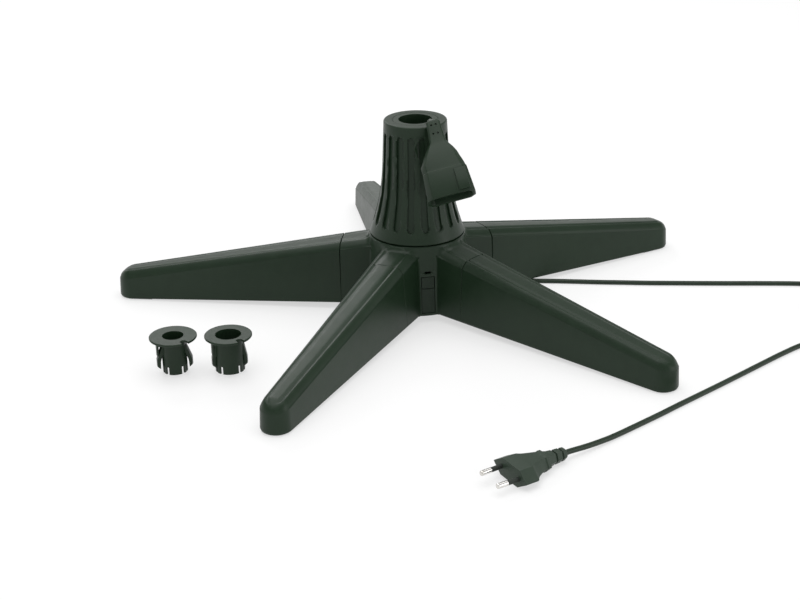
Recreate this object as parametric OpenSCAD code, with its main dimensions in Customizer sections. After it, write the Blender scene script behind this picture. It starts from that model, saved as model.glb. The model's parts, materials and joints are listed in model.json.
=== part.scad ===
// Rotating christmas tree stand. Five hollow legs plug onto a moulded hub. In the hub a
// geared motor turns a spindle, which carries a fluted cone on a thrust ball bearing. The
// tree's pole stands in the spindle and is centred by one of three inserts. Slip rings feed
// a flat two-pole coupling that turns with the tree.
// Millimetres, +Z up. The origin is on the floor, on the axis of the rotor.

/* [Hub] */
// Height of the hub's deck above the floor
hub_h = 67.6; // [66:0.1:74]
// Height of the hub's lower edge above the floor
hub_lift = 6.5; // [5:0.1:8]
// Radius of the hub's drum under the rotor
hub_top_r = 41.4; // [40.8:0.1:43]
// Radius of the hub's drum at its lower edge
hub_base_r = 44.4; // [43.5:0.1:47]
// Wall of the hub's drum
hub_wall = 2.4; // [2:0.1:2.8]
// Thickness of the hub's deck
deck_t = 3.1; // [2.5:0.1:4]
// Fillet between the drum and a stub's side
corner_r = 4; // [2:0.1:5]

/* [Legs] */
// Radius of the circle that the leg tips reach
reach_r = 267.8; // [240:0.1:300]
// Distance from the axis to the seam between stub and leg
seam_r = 65; // [58:0.5:75]
// Distance from the axis at which the root sizes of a leg hold
root_r = 32.5; // [28:0.5:36]
// Depth of the crease under the leg's cap below the hub's deck, at the root
crease_drop = 7.6; // [5.6:0.1:13]
// Height of the crease under the leg's cap, at the tip
crease_tip = 17.9; // [15:0.1:22]
// Height of the cap above the crease, at the root
cap_root = 5.4; // [3.5:0.1:6]
// Height of the cap above the crease, at the tip
cap_tip = 6.4; // [4:0.1:8]
// Height of the leg's lower edge at the root
edge_root = 6.7; // [5:0.1:8]
// Height of the leg's lower edge at the tip, above its rubber pad
edge_tip = 0.6; // [0.4:0.1:1]
// Width of a leg over the crease, at the root
crease_w_root = 35.6; // [32:0.1:38]
// Width of a leg over the crease, at the tip
crease_w_tip = 24; // [21:0.1:25]
// Width of a leg along its lower edge, at the root
base_w_root = 41; // [38:0.1:42]
// Width of a leg along its lower edge, at the tip
base_w_tip = 25.4; // [24:0.1:28]
// Wall of a leg
leg_wall = 2.2; // [1.8:0.1:2.6]
// Length of the tongue on which a leg plugs
tongue_l = 22; // [15:1:35]
// Wall of that tongue
tongue_wall = 2; // [1.6:0.1:2.4]
// Clearance between the tongue and the leg
leg_fit = 0.3; // [0.2:0.05:0.4]
// Thickness of the ribs in a leg
rib_t = 1.8; // [1.2:0.1:2.4]
// Thickness of a rubber pad
pad_t = 4; // [3:0.1:6]
// Length of a rubber pad behind the centre of the rounded tip
pad_l = 18; // [8:1:30]
// Clearance around a rubber pad
pad_gap = 0.3; // [0.2:0.05:0.5]

/* [Rotor cone] */
// Height of the stand
stand_h = 167; // [160:0.5:180]
// Radius of the top ring
ring_r = 26.6; // [26:0.1:28]
// Widening of the cone for each millimetre down
cone_taper = 0.05; // [0.03:0.005:0.07]
// Radius of the skirt over the hub
skirt_r = 40.7; // [39.5:0.1:41.2]
// Gap between the skirt and the hub's deck
skirt_gap = 1; // [0.6:0.1:1.5]
// Height of the flared foot of the cone
flare_h = 56.4; // [45:0.1:70]
// Wall of the cone
cone_wall = 2.6; // [2.2:0.1:3]
// Number of flutes
flute_n = 18; // [12:1:20]
// Width of a flute
flute_w = 5.2; // [4:0.1:6]
// Depth of a flute
flute_d = 1.2; // [0.8:0.1:1.6]
// Plain band above the flutes
flute_top = 9; // [6:0.5:14]
// Plain band below the flutes
flute_foot = 9.4; // [8:0.1:20]
// Number of ribs inside the cone
cone_ribs = 8; // [6:1:10]
// Thickness of the ribs inside the cone
cone_rib_t = 2; // [1.6:0.1:2.6]

/* [Sleeve and inserts] */
// Bore radius of the sleeve that holds an insert
sleeve_r = 15.2; // [15:0.05:15.6]
// Wall of the sleeve
sleeve_wall = 3; // [2.4:0.1:3.4]
// Length of an insert
insert_h = 32.5; // [28:0.5:38]
// Radius of an insert's flange
flange_r = 19; // [18.6:0.1:19.4]
// Thickness of an insert's flange
flange_t = 1.8; // [1.4:0.1:2.2]
// Running clearance of the fitted insert in its sleeve
insert_fit = 0.08; // [0.04:0.01:0.1]
// Bore radius of the fitted insert
pole_r = 14.1; // [13.6:0.05:14.3]
// Bore radius of the middle insert
mid_pole_r = 10.4; // [9.8:0.1:11]
// Bore radius of the small insert
small_pole_r = 8.5; // [7.5:0.1:9]
// Barrel wall of the two loose inserts
barrel_wall = 1.4; // [1.2:0.1:1.8]
// Radius over the sprung wings of a loose insert
wing_r = 14.4; // [14:0.1:14.8]
// Width of the notch in a flange, through which the lead passes
notch_w = 5.7; // [5.2:0.1:6.4]
// Place of the small insert on the floor
small_at = [-217.3, -91];
// Place of the middle insert on the floor
mid_at = [-174.2, -99];

/* [Spindle and drive] */
// Wall of the spindle around the pole's well
well_wall = 2.4; // [2.2:0.05:2.5]
// Floor of the spindle's well
well_floor = 4; // [3:0.1:5]
// Radius of the stem below the well
stem_r = 8; // [6:0.1:9]
// Running clearance of a bush
run_fit = 0.06; // [0.04:0.01:0.1]
// Wall of a bush
bush_wall = 2.4; // [2:0.1:2.8]
// Length of a bush
bush_l = 6; // [5:0.5:8]
// Thickness of a bush's flange
bush_flange = 0.8; // [0.6:0.1:0.9]
// Wall of the hub's tower
tower_wall = 2.4; // [2:0.1:3]
// Gear module
gear_m = 1; // [0.96:0.01:1.02]
// Teeth of the drive gear
gear_teeth = 48; // [46:2:50]
// Teeth of the motor's pinion
pinion_teeth = 12; // [11:1:12]
// Play between the teeth
backlash = 0.3; // [0.2:0.02:0.4]
// Width of the drive gear's toothed rim
gear_t = 7; // [5:0.5:8]
// Length of the drive gear's boss
gear_boss = 12; // [11:0.5:13]
// Radius of the motor's can
motor_r = 19.5; // [18:0.1:20]
// Height of the motor's can
motor_h = 14; // [10:0.5:14.5]
// Offset of the motor's shaft from the middle of its can
shaft_offset = 11; // [9.5:0.1:12]
// Radius of the motor's shaft
shaft_r = 2.5; // [2:0.1:3]
// Thickness of the motor plate
plate_t = 2; // [1.6:0.1:2.4]
// Thickness of the bottom cover
cover_t = 2; // [1.6:0.1:2]

/* [Bearing] */
// Diameter of a ball
ball_d = 5; // [4.6:0.1:5.4]
// Number of balls
ball_n = 16; // [10:1:18]
// Radius of the ring of balls
ball_ring_r = 29.5; // [29:0.1:30]
// Width of a race
race_w = 7.4; // [6.5:0.1:8]
// Thickness of a race
race_t = 1.6; // [1.4:0.1:2]
// Depth of the groove in a race
groove_d = 0.6; // [0.4:0.05:0.8]
// Play between a ball and its groove
ball_gap = 0.1; // [0.06:0.01:0.15]
// Height of the cage
cage_h = 2.2; // [1.6:0.1:2.4]

/* [Slip rings] */
// Thickness of the insulating sleeve
carrier_t = 1.7; // [1.4:0.1:2]
// Thickness of a slip ring
ring_t = 1; // [0.8:0.1:1.2]
// Height of a slip ring
ring_h = 2.4; // [2:0.1:2.6]
// Distance between the slip rings
ring_pitch = 4.4; // [3.8:0.1:4.6]
// Gap between a brush and its ring
brush_gap = 0.3; // [0.25:0.01:0.35]
// Width of the brush holder
holder_w = 14; // [10:0.5:18]

/* [Coupling] */
// Length of the coupling from its pivot to its mouth
coupling_l = 69; // [66:0.5:72]
// Width of the coupling's mouth
coupling_w = 39.6; // [38:0.2:42]
// Thickness of the coupling's mouth
coupling_t = 18.4; // [17.6:0.1:20]
// Wall around the coupling's mouth
coupling_wall = 2.2; // [1.6:0.1:2.4]
// Depth of the coupling's mouth
mouth_d = 17; // [14:0.5:19]
// Diameter of the lead that runs from the sleeve to the coupling
lead_d = 3.6; // [3.2:0.1:3.6]
// Distance between the contacts
pin_pitch = 18.6; // [18:0.1:19.2]
// Diameter of a pin
pin_d = 4; // [3.8:0.05:4.2]

/* [Switch and gland] */
// Width of the switch in the hub's front
switch_w = 11; // [9:0.1:12]
// Height of the switch's lower edge
switch_z = 9; // [9:0.1:10]
// Height of the switch
switch_h = 32; // [28:0.1:33]
// Height of the rocker, the upper part of the switch
rocker_h = 10.2; // [8:0.1:12]
// Gap around the rocker
rocker_gap = 0.45; // [0.4:0.05:0.6]
// Radius of the gland's nut
gland_nut_r = 5.4; // [5:0.1:5.8]
// Length of the gland's tapered sleeve
gland_l = 18; // [15:0.5:24]

/* [Cord and plug] */
// Diameter of the cord
cord_d = 4.2; // [4:0.1:4.4]
// Turns in the coil of spare cord
coil_turns = 7; // [6:1:8]
// Radius of the coil's outermost turn
coil_r = 33; // [32:0.5:36]
// Gap between the coil's turns
coil_gap = 0.6; // [0.5:0.05:0.8]
// Width of the plug's face
plug_w = 35.3; // [34:0.1:36]
// Thickness of the plug's face
plug_t = 13.7; // [13:0.1:14]
// Length of the plug behind its face, with its strain relief
plug_l = 50.2; // [46:0.2:56]
// Length of a pin
pin_l = 19; // [18:0.1:20]
// Length of the insulating sleeve at the foot of a pin
pin_sleeve_l = 10; // [9:0.1:11]
// Narrowing of the pins towards each other at their tips
pin_close = 1; // [0.6:0.1:1.2]

/* [Hidden] */

$fn = 64;
green = "#37403a";
dark_green = "#2b332d";
steel = "#b9bcc0";
white = "#d8d8d4";
copper = "#b87a4a";
rubber = "#1d1f1e";

legs = 5;
leg_turn = 360 / legs;
first_leg = 90;
// Direction of the lead's notch in the top ring
notch_az = -62.3;
// Direction of the motor's pinion
pinion_az = 90;
// Direction of the brushes
brush_az = 270;
// Direction of the switch, in the middle of the hub's front panel
switch_az = 270;
// Direction of the gland, in line with the fifth leg
gland_az = first_leg + 4 * leg_turn;
eps = 0.01;

crease_root = hub_h - crease_drop;

// Heights of the stack on the axis, from the bottom cover up
cover_z = hub_lift + 0.2;
motor_z = cover_z + cover_t + 1.3;
plate_z = motor_z + motor_h;
stem_z = plate_z + plate_t + 3.5;
gear_z = stem_z + 3;
well_z = stem_z + gear_boss;
tower_z = well_z + well_floor + 1;
deck_z = hub_h - deck_t;
ball_z = hub_h + race_t - groove_d + ball_d / 2 + ball_gap;
upper_race_z = 2 * ball_z - hub_h - race_t;
seat_z = upper_race_z + race_t;
skirt_z = hub_h + skirt_gap;
collar_z = seat_z + 6.2;
collar_t = 3;
web_z = collar_z + collar_t;
web_t = 4;
well_top = stand_h - insert_h - 4;
tip_c = reach_r - base_w_tip / 2;
// The spindle's well takes the same pole as the fitted insert
well_r = pole_r;
spindle_r = well_r + well_wall;
bush_r = spindle_r + run_fit + bush_wall;
gear_dist = gear_m * (gear_teeth + pinion_teeth) / 2;
ring_1_z = hub_h + 2.4;
carrier_r = spindle_r + carrier_t;
slip_r = carrier_r + ring_t;

function lerp(a, b, t) = a + (b - a) * t;
function polar(r, a) = [r * cos(a), r * sin(a)];
function unit(v) = v / norm(v);

// ---- General solids ----

// Faces between m rings of n points
function skin(n, m) = [for (j = [0 : m - 2], i = [0 : n - 1]) let (k = (i + 1) % n)
    each [[j * n + i, (j + 1) * n + i, (j + 1) * n + k],
        [j * n + i, (j + 1) * n + k, j * n + k]]];

// Closed solid through rings of equal length, each counter-clockwise about the way they run
module loft(rings) {
    n = len(rings[0]);
    m = len(rings);
    polyhedron(points = [for (r = rings) each r], faces = concat(
        [[for (i = [0 : n - 1]) i]], skin(n, m),
        [[for (i = [n - 1 : -1 : 0]) (m - 1) * n + i]]), convexity = 8);
}

// Rounded flat outline of half width a and half thickness b
function oval(a, b, z, x0 = 0, n = 28, p = 3.2) = [for (i = [0 : n - 1])
    let (t = 360 * i / n, c = cos(t), s = sin(t),
        k = pow(pow(abs(c), p) + pow(abs(s), p), -1 / p))
    [x0 + a * k * c, b * k * s, z]];

// Smooth line through points: cubic pieces, each cut into so many steps
function spline(p, steps) = [for (i = [0 : len(p) - 2])
    let (a = p[max(0, i - 1)], b = p[i], c = p[i + 1], d = p[min(len(p) - 1, i + 2)],
        u = i == 0 ? c - b : (c - a) / 2, v = i == len(p) - 2 ? c - b : (d - b) / 2)
    for (k = [0 : i == len(p) - 2 ? steps : steps - 1]) let (t = k / steps)
        b * (2 * t * t * t - 3 * t * t + 1) + u * (t * t * t - 2 * t * t + t)
        + c * (3 * t * t - 2 * t * t * t) + v * (t * t * t - t * t)];

// Round tube along a line that is nowhere upright
function tube_rings(line, d, sides) = [for (i = [0 : len(line) - 1])
    let (t = unit(line[min(len(line) - 1, i + 1)] - line[max(0, i - 1)]),
        s = unit(cross([0, 0, 1], t)), u = cross(t, s))
    [for (k = [0 : sides - 1]) let (a = 360 * k / sides)
        line[i] + d / 2 * (cos(a) * s + sin(a) * u)]];

// Screw with a round head, standing head down
module screw(head_r, head_h, shank_r, shank_l) {
    translate([0, 0, -head_h]) cylinder(r = head_r, h = head_h, $fn = 24);
    translate([0, 0, -eps]) cylinder(r = shank_r, h = shank_l + eps, $fn = 24);
}

// ---- Form of the legs ----
// A leg lies along +X. Each half of its section runs from the middle of the top outwards
// and down, as [distance from the middle, height]. Past tip_c the half section sweeps
// round the tip through the angle phi.

// Outline of the cap: share of its half width, share of its height below the top
cap_form = [[0.2, 0], [0.4, 0.02], [0.5, 0.2], [0.6, 0.08], [0.66, 0.06], [0.76, 0.25],
    [0.86, 0.55], [0.93, 0.8], [0.95, 1]];
// Points of the cap that its inside follows, with the share of the wall taken off each way
inner_form = [[0.2, 0, 1], [0.4, 0.1, 1], [0.76, 0.7, 0.75], [0.93, 1, 0.4]];
ledge = 0.5;

function share(x) = min(1, (x - root_r) / (tip_c - root_r));
function crease_z(x) = lerp(crease_root, crease_tip, (x - root_r) / (reach_r - root_r));
function cap_h(x) = lerp(cap_root, cap_tip, share(x));
function half_crease(x) = lerp(crease_w_root, crease_w_tip, share(x)) / 2;
function half_base(x) = lerp(base_w_root, base_w_tip, share(x)) / 2;
function edge_z(x) = lerp(edge_root, edge_tip, share(x));

// Rise of the cap where it runs into the drum
function rise(x, u, f) = let (gap = norm([x, u]) - hub_top_r)
    gap >= 4 ? 0 : (1 - f) * (4 - sqrt(max(0, 16 - pow(4 - max(0, gap), 2))));
// Height of the cap at the share f of its half width, with form share v
function cap_z(x, phi, f, v) = let (far = x + f * half_crease(x) * sin(phi),
        dome = 1 - sqrt(1 - pow(f / 0.951, 2)))
    crease_z(far) + cap_h(x) * (1 - lerp(v, dome, pow(sin(phi), 2)));

function leg_outer(x, phi) = let (w = half_crease(x), b = half_base(x), low = edge_z(x),
        step_z = crease_z(x + w * sin(phi)) - ledge)
    concat([for (p = cap_form) [p[0] * w, cap_z(x, phi, p[0], p[1]) + rise(x, p[0] * w, p[1])]],
        [[lerp(w, b, 0.02), step_z], [b, low + 2], [b - 0.6, low + 0.6], [b - 1.5, low]]);

function leg_inner(x, phi, inset = 0, low_rise = 0) = let (w = half_crease(x),
        off = leg_wall + inset, bottom = edge_z(x) + low_rise,
        side = crease_z(x + w * sin(phi)) - 1.5 - inset)
    concat([for (p = inner_form)
            [p[0] * w - p[1] * off, cap_z(x, phi, p[0], lookup(p[0], cap_form)) - p[2] * off]],
        [[0.95 * w - off, side],
         [half_base(x) - 0.1 - off - 0.05 * low_rise, bottom]]);

function place(p, x, phi, side) = [x + p[0] * sin(phi), side * p[0] * cos(phi), p[1]];
// One closed ring of a channel section, counter-clockwise about +X
function channel(outer, inner, x, phi = 0) = let (a = len(outer) - 1, b = len(inner) - 1)
    concat([for (i = [a : -1 : 0]) place(outer[i], x, phi, 1)],
        [for (i = [0 : a]) place(outer[i], x, phi, -1)],
        [for (i = [b : -1 : 0]) place(inner[i], x, phi, -1)],
        [for (i = [0 : b]) place(inner[i], x, phi, 1)]);
// One closed ring of a solid section
function slab(outer, x) = concat([for (i = [len(outer) - 1 : -1 : 0]) place(outer[i], x, 0, 1)],
    [for (p = outer) place(p, x, 0, -1)]);

// Outer point that lies across the wall from each inner point of a leg's section
across = [0, 1, 5, 7, 9, 12];
// Faces that close a channel section of a outer and b inner points to a side
function channel_cap(a, b) = let (n = 2 * (a + b), m = a == b ? [for (i = [0 : b - 1]) i] : across)
    concat(strip(a - 1, a, n - b - 1, n - b),
        [for (k = [0 : b - 2]) each concat(
            [for (j = [m[k] : m[k + 1] - 1]) [a - 1 - j, n - b + k, a - 2 - j]],
            [[a - 1 - m[k + 1], n - b + k, n - b + k + 1]],
            [for (j = [m[k] : m[k + 1] - 1]) [a + j, a + j + 1, n - b - 1 - k]],
            [[a + m[k + 1], n - b - 2 - k, n - b - 1 - k]])]);
function turned(faces, shift) = [for (f = faces) [shift + f[0], shift + f[2], shift + f[1]]];

// Closed solid through channel sections
module channel_loft(rings, a, b) {
    n = len(rings[0]);
    m = len(rings);
    polyhedron(points = [for (r = rings) each r], faces = concat(channel_cap(a, b), skin(n, m),
        turned(channel_cap(a, b), (m - 1) * n)), convexity = 8);
}

tip_steps = [0, 17, 34, 51, 68, 84];

// Hollow leg, open below, with its rounded tip
module leg_shell() {
    stations = concat([[seam_r, 0]], [for (phi = tip_steps) [tip_c, phi]]);
    rings = [for (s = stations) channel(leg_outer(s[0], s[1]), leg_inner(s[0], s[1]), s[0], s[1])];
    n = len(rings[0]);
    m = len(rings);
    a = len(leg_outer(tip_c, 0));
    b = len(leg_inner(tip_c, 0));
    end = (m - 1) * n;
    polyhedron(points = [for (r = rings) each r], faces = concat(channel_cap(a, b), skin(n, m),
        [for (k = [0 : a - 2]) each strip(end + 2 * a - 1 - k, end + 2 * a - 2 - k,
            end + k + 1, end + k)],
        [for (k = [0 : b - 2]) each strip(end + n - 1 - k, end + n - 2 - k,
            end + 2 * a + k + 1, end + 2 * a + k)],
        strip(end, end + n - 1, end + 2 * a, end + 2 * a - 1)), convexity = 8);
}

function strip(p, q, r, s) = [[p, q, r], [p, r, s]];

// Upright plate across a channel, set into its walls, from a height above the lower edge
module cross_plate(x, t, low_rise) {
    section = leg_inner(x, 0, -1, low_rise);
    translate([x - t / 2, 0, 0]) rotate([90, 0, 90]) linear_extrude(t)
        polygon(concat([for (i = [len(section) - 1 : -1 : 0]) section[i]],
            [for (p = section) [-p[0], p[1]]]));
}

// Outline of the pad, grown by a margin
module pad_outline(r) {
    translate([tip_c, 0]) circle(r = r);
    translate([tip_c - pad_l, -r]) square([pad_l, 2 * r]);
}

pad_r = base_w_tip / 2 - leg_wall - 0.1 - pad_gap;
rib_places = [0.25, 0.5, 0.75];

module leg() {
    color(green) {
        leg_shell();
        for (p = rib_places)
            cross_plate(lerp(seam_r + tongue_l, tip_c - pad_l, p), rib_t, 9);
        cross_plate(seam_r + tongue_l + 3, rib_t, 14);
        translate([0, 0, pad_t]) linear_extrude(1.8) pad_outline(pad_r + pad_gap + 1.2);
    }
}

module at_leg(i) {
    rotate([0, 0, first_leg + leg_turn * (i - 1)]) children();
}

module foot_pads() {
    color(rubber) for (i = [1 : legs]) at_leg(i) linear_extrude(pad_t) pad_outline(pad_r);
}

// ---- Hub ----

function drum_r(z) = lerp(hub_base_r, hub_top_r, (z - hub_lift) / (hub_h - hub_lift));
stub_in = 34;
bulkhead_t = 3;
cover_boss_az = [60, 122, 245];
cover_boss_top = 22;
cover_boss_at = min(drum_r(cover_z), drum_r(cover_boss_top)) - hub_wall - 2.64;
plate_boss_az = [18, 155, 225, 315];
plate_boss_at = 35.6;
tower_r = bush_r + tower_wall;

// Stub with the leg's section, its closed end and the tongue that the leg slides on
module stub() {
    near = hub_top_r;
    channel_loft([for (x = [stub_in, near, near + 0.8, near + 2, near + 4, seam_r])
        channel(leg_outer(x, 0), leg_inner(x, 0), x)], 13, 6);
    translate([seam_r - bulkhead_t, 0, 0]) cross_plate_at(seam_r - bulkhead_t / 2);
    channel_loft([for (x = [seam_r - bulkhead_t, seam_r + tongue_l])
        channel(leg_inner(x, 0, leg_fit, 8), leg_inner(x, 0, leg_fit + tongue_wall, 8), x)], 6, 6);
}

module cross_plate_at(x) {
    translate([-(seam_r - bulkhead_t), 0, 0]) cross_plate(x, bulkhead_t, 14);
}

// Fillet between the drum and the side of a stub, running out below the cap
function fillet_ring(z, r) = let (w = lerp(half_base(hub_top_r), half_crease(hub_top_r),
        (z - hub_lift) / (crease_z(hub_top_r) - hub_lift)), d = drum_r(z),
        yc = w + r, xc = sqrt(pow(d + r, 2) - yc * yc), turn = atan2(yc, xc),
        inner = d - 1.2, steps = 4)
    concat([[sqrt(inner * inner - pow(w - 1, 2)), w - 1, z], [xc, w - 1, z]],
        [for (k = [0 : steps]) let (a = lerp(-90, turn - 180, k / steps))
            [xc + (r + 0.05) * cos(a), yc + (r + 0.05) * sin(a), z]],
        [[inner * cos(turn + 1), inner * sin(turn + 1), z]]);

module fillets() {
    low = crease_z(hub_top_r) - 4;
    rings = [fillet_ring(hub_lift + 0.4, corner_r), fillet_ring(low, corner_r),
        fillet_ring(low + 3, 0.8)];
    loft(rings);
    mirror([0, 1, 0]) loft(rings);
}

module boss(az, at, z0, z1, r, pilot_r, pilot_l) {
    rotate([0, 0, az]) translate([at, 0, z0]) difference() {
        cylinder(r = r, h = z1 - z0, $fn = 32);
        translate([0, 0, -eps]) cylinder(r = pilot_r, h = pilot_l, $fn = 24);
    }
}

// Least radius of the drum's inside behind the switch
switch_in = min(drum_r(switch_z), drum_r(switch_z + switch_h + 2)) - hub_wall;
switch_r = switch_in + 1.2;
// Outer face of the switch's case, whose corners stay clear of the wall
case_out = sqrt(pow(switch_in - 0.25, 2) - pow(switch_w / 2 + 2, 2));

// Window of the switch, as wide as the block and its gap
module switch_window(grow) {
    rotate([0, 0, switch_az]) translate([switch_r - 8, -switch_w / 2 - grow, switch_z - grow])
        cube([14, switch_w + 2 * grow, switch_h + 2 * grow]);
}

module drum_solid(shrink, z0, z1) {
    rotate_extrude($fn = 96) polygon([[0, z0], [drum_r(z0) - shrink, z0],
        [drum_r(z1 - 1) - shrink, z1 - 1], [drum_r(z1) - 0.8 - shrink, z1], [0, z1]]);
}

gland_r = 4;

module hub_casing() {
    color(green) {
        difference() {
            union() {
                drum_solid(0, hub_lift, hub_h);
                for (i = [1 : legs]) at_leg(i) {
                    stub();
                    fillets();
                }
            }
            rotate_extrude($fn = 96) polygon([[0, hub_lift - 1],
                [drum_r(hub_lift) - hub_wall, hub_lift - 1],
                [drum_r(deck_z) - hub_wall, deck_z], [0, deck_z]]);
            translate([0, 0, deck_z - 1]) cylinder(r = bush_r, h = deck_t + 2);
            switch_window(0.4);
            // Small oval hole above the switch
            translate([0, 0, switch_z + switch_h + 4]) rotate([90, 0, 0])
                linear_extrude(hub_base_r + 5) slot(2.6, 1.1);
            rotate([0, 0, gland_az]) translate([hub_top_r - 6, 0, gland_z])
                rotate([0, 90, 0]) cylinder(r = gland_r, h = 12, $fn = 48);
        }
        // Tower that holds the two bushes
        difference() {
            translate([0, 0, tower_z]) cylinder(r = tower_r, h = deck_z - tower_z + eps);
            translate([0, 0, tower_z - 1]) cylinder(r = bush_r, h = hub_h);
        }
        for (az = cover_boss_az) {
            boss(az, cover_boss_at, cover_z + cover_t, cover_boss_top, 3.4, 1.3, 9);
            rotate([0, 0, az]) translate([cover_boss_at + 2, -1.5, cover_z + cover_t])
                cube([2.3, 3, cover_boss_top - cover_z - cover_t]);
        }
        for (az = plate_boss_az)
            boss(az, plate_boss_at, plate_z + plate_t, deck_z + eps, 3.2, 1.2, 8);
    }
}

// Flat oval of half length a and radius r
module slot(a, r) {
    circle(r = r, $fn = 24);
    for (s = [-1, 1]) translate([s * (a - r), 0]) circle(r = r, $fn = 24);
    translate([-(a - r), -r]) square([2 * (a - r), 2 * r]);
}

module bottom_cover() {
    r = drum_r(hub_lift) - hub_wall - 0.3;
    color(dark_green) difference() {
        union() {
            translate([0, 0, cover_z]) cylinder(r = r, h = cover_t);
            // Low rim inside the drum
            translate([0, 0, cover_z + cover_t - eps]) difference() {
                cylinder(r = r - 8, h = 1.2);
                translate([0, 0, -1]) cylinder(r = r - 9.6, h = 4);
            }
        }
        // Room for the switch
        rotate([0, 0, switch_az]) translate([switch_r - 14, -switch_w / 2 - 2.5, cover_z + cover_t])
            cube([20, switch_w + 5, 10]);
        for (az = cover_boss_az) rotate([0, 0, az]) translate([cover_boss_at, 0, 0])
            cylinder(r = 1.6, h = 30, $fn = 24);
        // Slots that let the motor's warmth out
        for (i = [-2 : 2]) translate([i * 5, 17, cover_z - 1])
            linear_extrude(cover_t + 3) rotate(90) slot(7, 1);
    }
}

module cover_screws() {
    color(steel) for (az = cover_boss_az) rotate([0, 0, az])
        translate([cover_boss_at, 0, cover_z]) screw(2.8, 1.8, 1.25, 10);
}

// ---- Rotor ----

flare = skirt_r - ring_r - cone_taper * (stand_h - skirt_z);
function cone_r(z) = ring_r + cone_taper * (stand_h - z)
    + flare * pow(max(0, (skirt_z + flare_h - z) / flare_h), 2);
flare_top = skirt_z + flare_h;
// Line of the cone: n pieces over the flared foot, then straight up
function cone_line(z0, z1, n, inset) = concat([for (i = [0 : n])
    let (z = lerp(z0, flare_top, i / n)) [cone_r(z) - inset, z]], [[cone_r(z1) - inset, z1]]);
function back(v) = [for (i = [len(v) - 1 : -1 : 0]) v[i]];

bearing_in = ball_ring_r - race_w / 2;
bearing_out = ball_ring_r + race_w / 2;
sleeve_out = sleeve_r + sleeve_wall;
plate_under = stand_h - 7;

// Cutters of the flutes: a strip whose inner face follows the wall, cut to a slot with round ends
module flute_cutters() {
    z0 = skirt_z + flute_foot;
    z1 = stand_h - flute_top;
    for (i = [0 : flute_n - 1]) rotate([0, 0, 360 * (i + 0.5) / flute_n]) intersection() {
        rotate([90, 0, 0]) linear_extrude(flute_w + 1, center = true)
            polygon(concat(cone_line(z0 - 1, z1 + 1, 5, flute_d),
                [[skirt_r + 3, z1 + 1], [skirt_r + 3, z0 - 1]]));
        rotate([90, 0, 90]) linear_extrude(skirt_r + 5) {
            translate([-flute_w / 2, z0 + flute_w / 2]) square([flute_w, z1 - z0 - flute_w]);
            for (z = [z0 + flute_w / 2, z1 - flute_w / 2])
                translate([0, z]) circle(d = flute_w, $fn = 24);
        }
    }
}

module rotor_cone() {
    color(green) {
        difference() {
            union() {
                // Wall with its rounded top edge, skirt and closed top
                rotate_extrude($fn = 96) polygon(concat(
                    [[skirt_r - 0.6, skirt_z]], cone_line(skirt_z + 0.6, stand_h - 1.2, 8, 0),
                    [for (a = [30, 60, 90]) [cone_r(stand_h) - 1.2 + 1.2 * cos(a),
                        stand_h - 1.2 + 1.2 * sin(a)]],
                    [[sleeve_r, stand_h], [sleeve_r, plate_under]],
                    [[cone_r(plate_under) - cone_wall, plate_under]],
                    back(cone_line(skirt_z, plate_under - 1, 5, cone_wall))));
                // Sleeve over the spindle's top, with its web
                translate([0, 0, web_z]) cylinder(r = sleeve_out, h = plate_under - web_z + 1);
                translate([0, 0, web_z]) cylinder(r = collar_r, h = web_t);
                // Seat of the upper race
                translate([0, 0, seat_z]) difference() {
                    cylinder(r = bearing_out, h = web_z + web_t - seat_z);
                    translate([0, 0, -1]) cylinder(r = bearing_in + 1.4, h = 40);
                }
                cone_rib_set();
            }
            flute_cutters();
            translate([0, 0, well_top]) cylinder(r = sleeve_r, h = insert_h + 10);
            translate([0, 0, web_z - 1]) cylinder(r = spindle_r, h = well_top - web_z + 2);
            // Seat of the insert's flange
            translate([0, 0, stand_h - flange_t]) cylinder(r = flange_r + 0.3, h = 5);
            // Way for the lead: slot in the sleeve, and hole in the web
            rotate([0, 0, notch_az]) {
                translate([sleeve_r - 2, -notch_w / 2, stand_h - lead_slot_l])
                    cube([flange_r - sleeve_r + 2.7, notch_w, lead_slot_l + 5]);
                translate([lead_low_r, 0, web_z - 1])
                    cylinder(r = lead_d / 2 + 0.3, h = web_t + 2, $fn = 32);
            }
            for (az = rotor_screw_az) rotate([0, 0, az]) translate([rotor_screw_at, 0, web_z - 1])
                cylinder(r = 1.2, h = web_t, $fn = 24);
        }
    }
}

collar_r = 24;
// Gap between the spindle's collar and the ribs of the cone
collar_gap = 0.3;
rotor_screw_at = 20.6;
rotor_screw_az = [67.5, 157.5, 247.5, 337.5];

module cone_rib_set() {
    intersection() {
        rotate_extrude($fn = 96) polygon(concat([[sleeve_out - 1, seat_z + 4]],
            cone_line(seat_z + 4, plate_under + 1, 5, cone_wall - 1),
            [[sleeve_out - 1, plate_under + 1]]));
        for (i = [0 : cone_ribs - 1]) rotate([0, 0, 360 * i / cone_ribs])
            translate([collar_r + collar_gap, -cone_rib_t / 2, seat_z + 4])
                cube([skirt_r, cone_rib_t, plate_under - seat_z]);
    }
    for (i = [0 : cone_ribs - 1]) rotate([0, 0, 360 * i / cone_ribs])
        translate([sleeve_out - 1, -cone_rib_t / 2, web_z])
            cube([collar_r - sleeve_out + 2, cone_rib_t, plate_under - web_z]);
}

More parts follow.
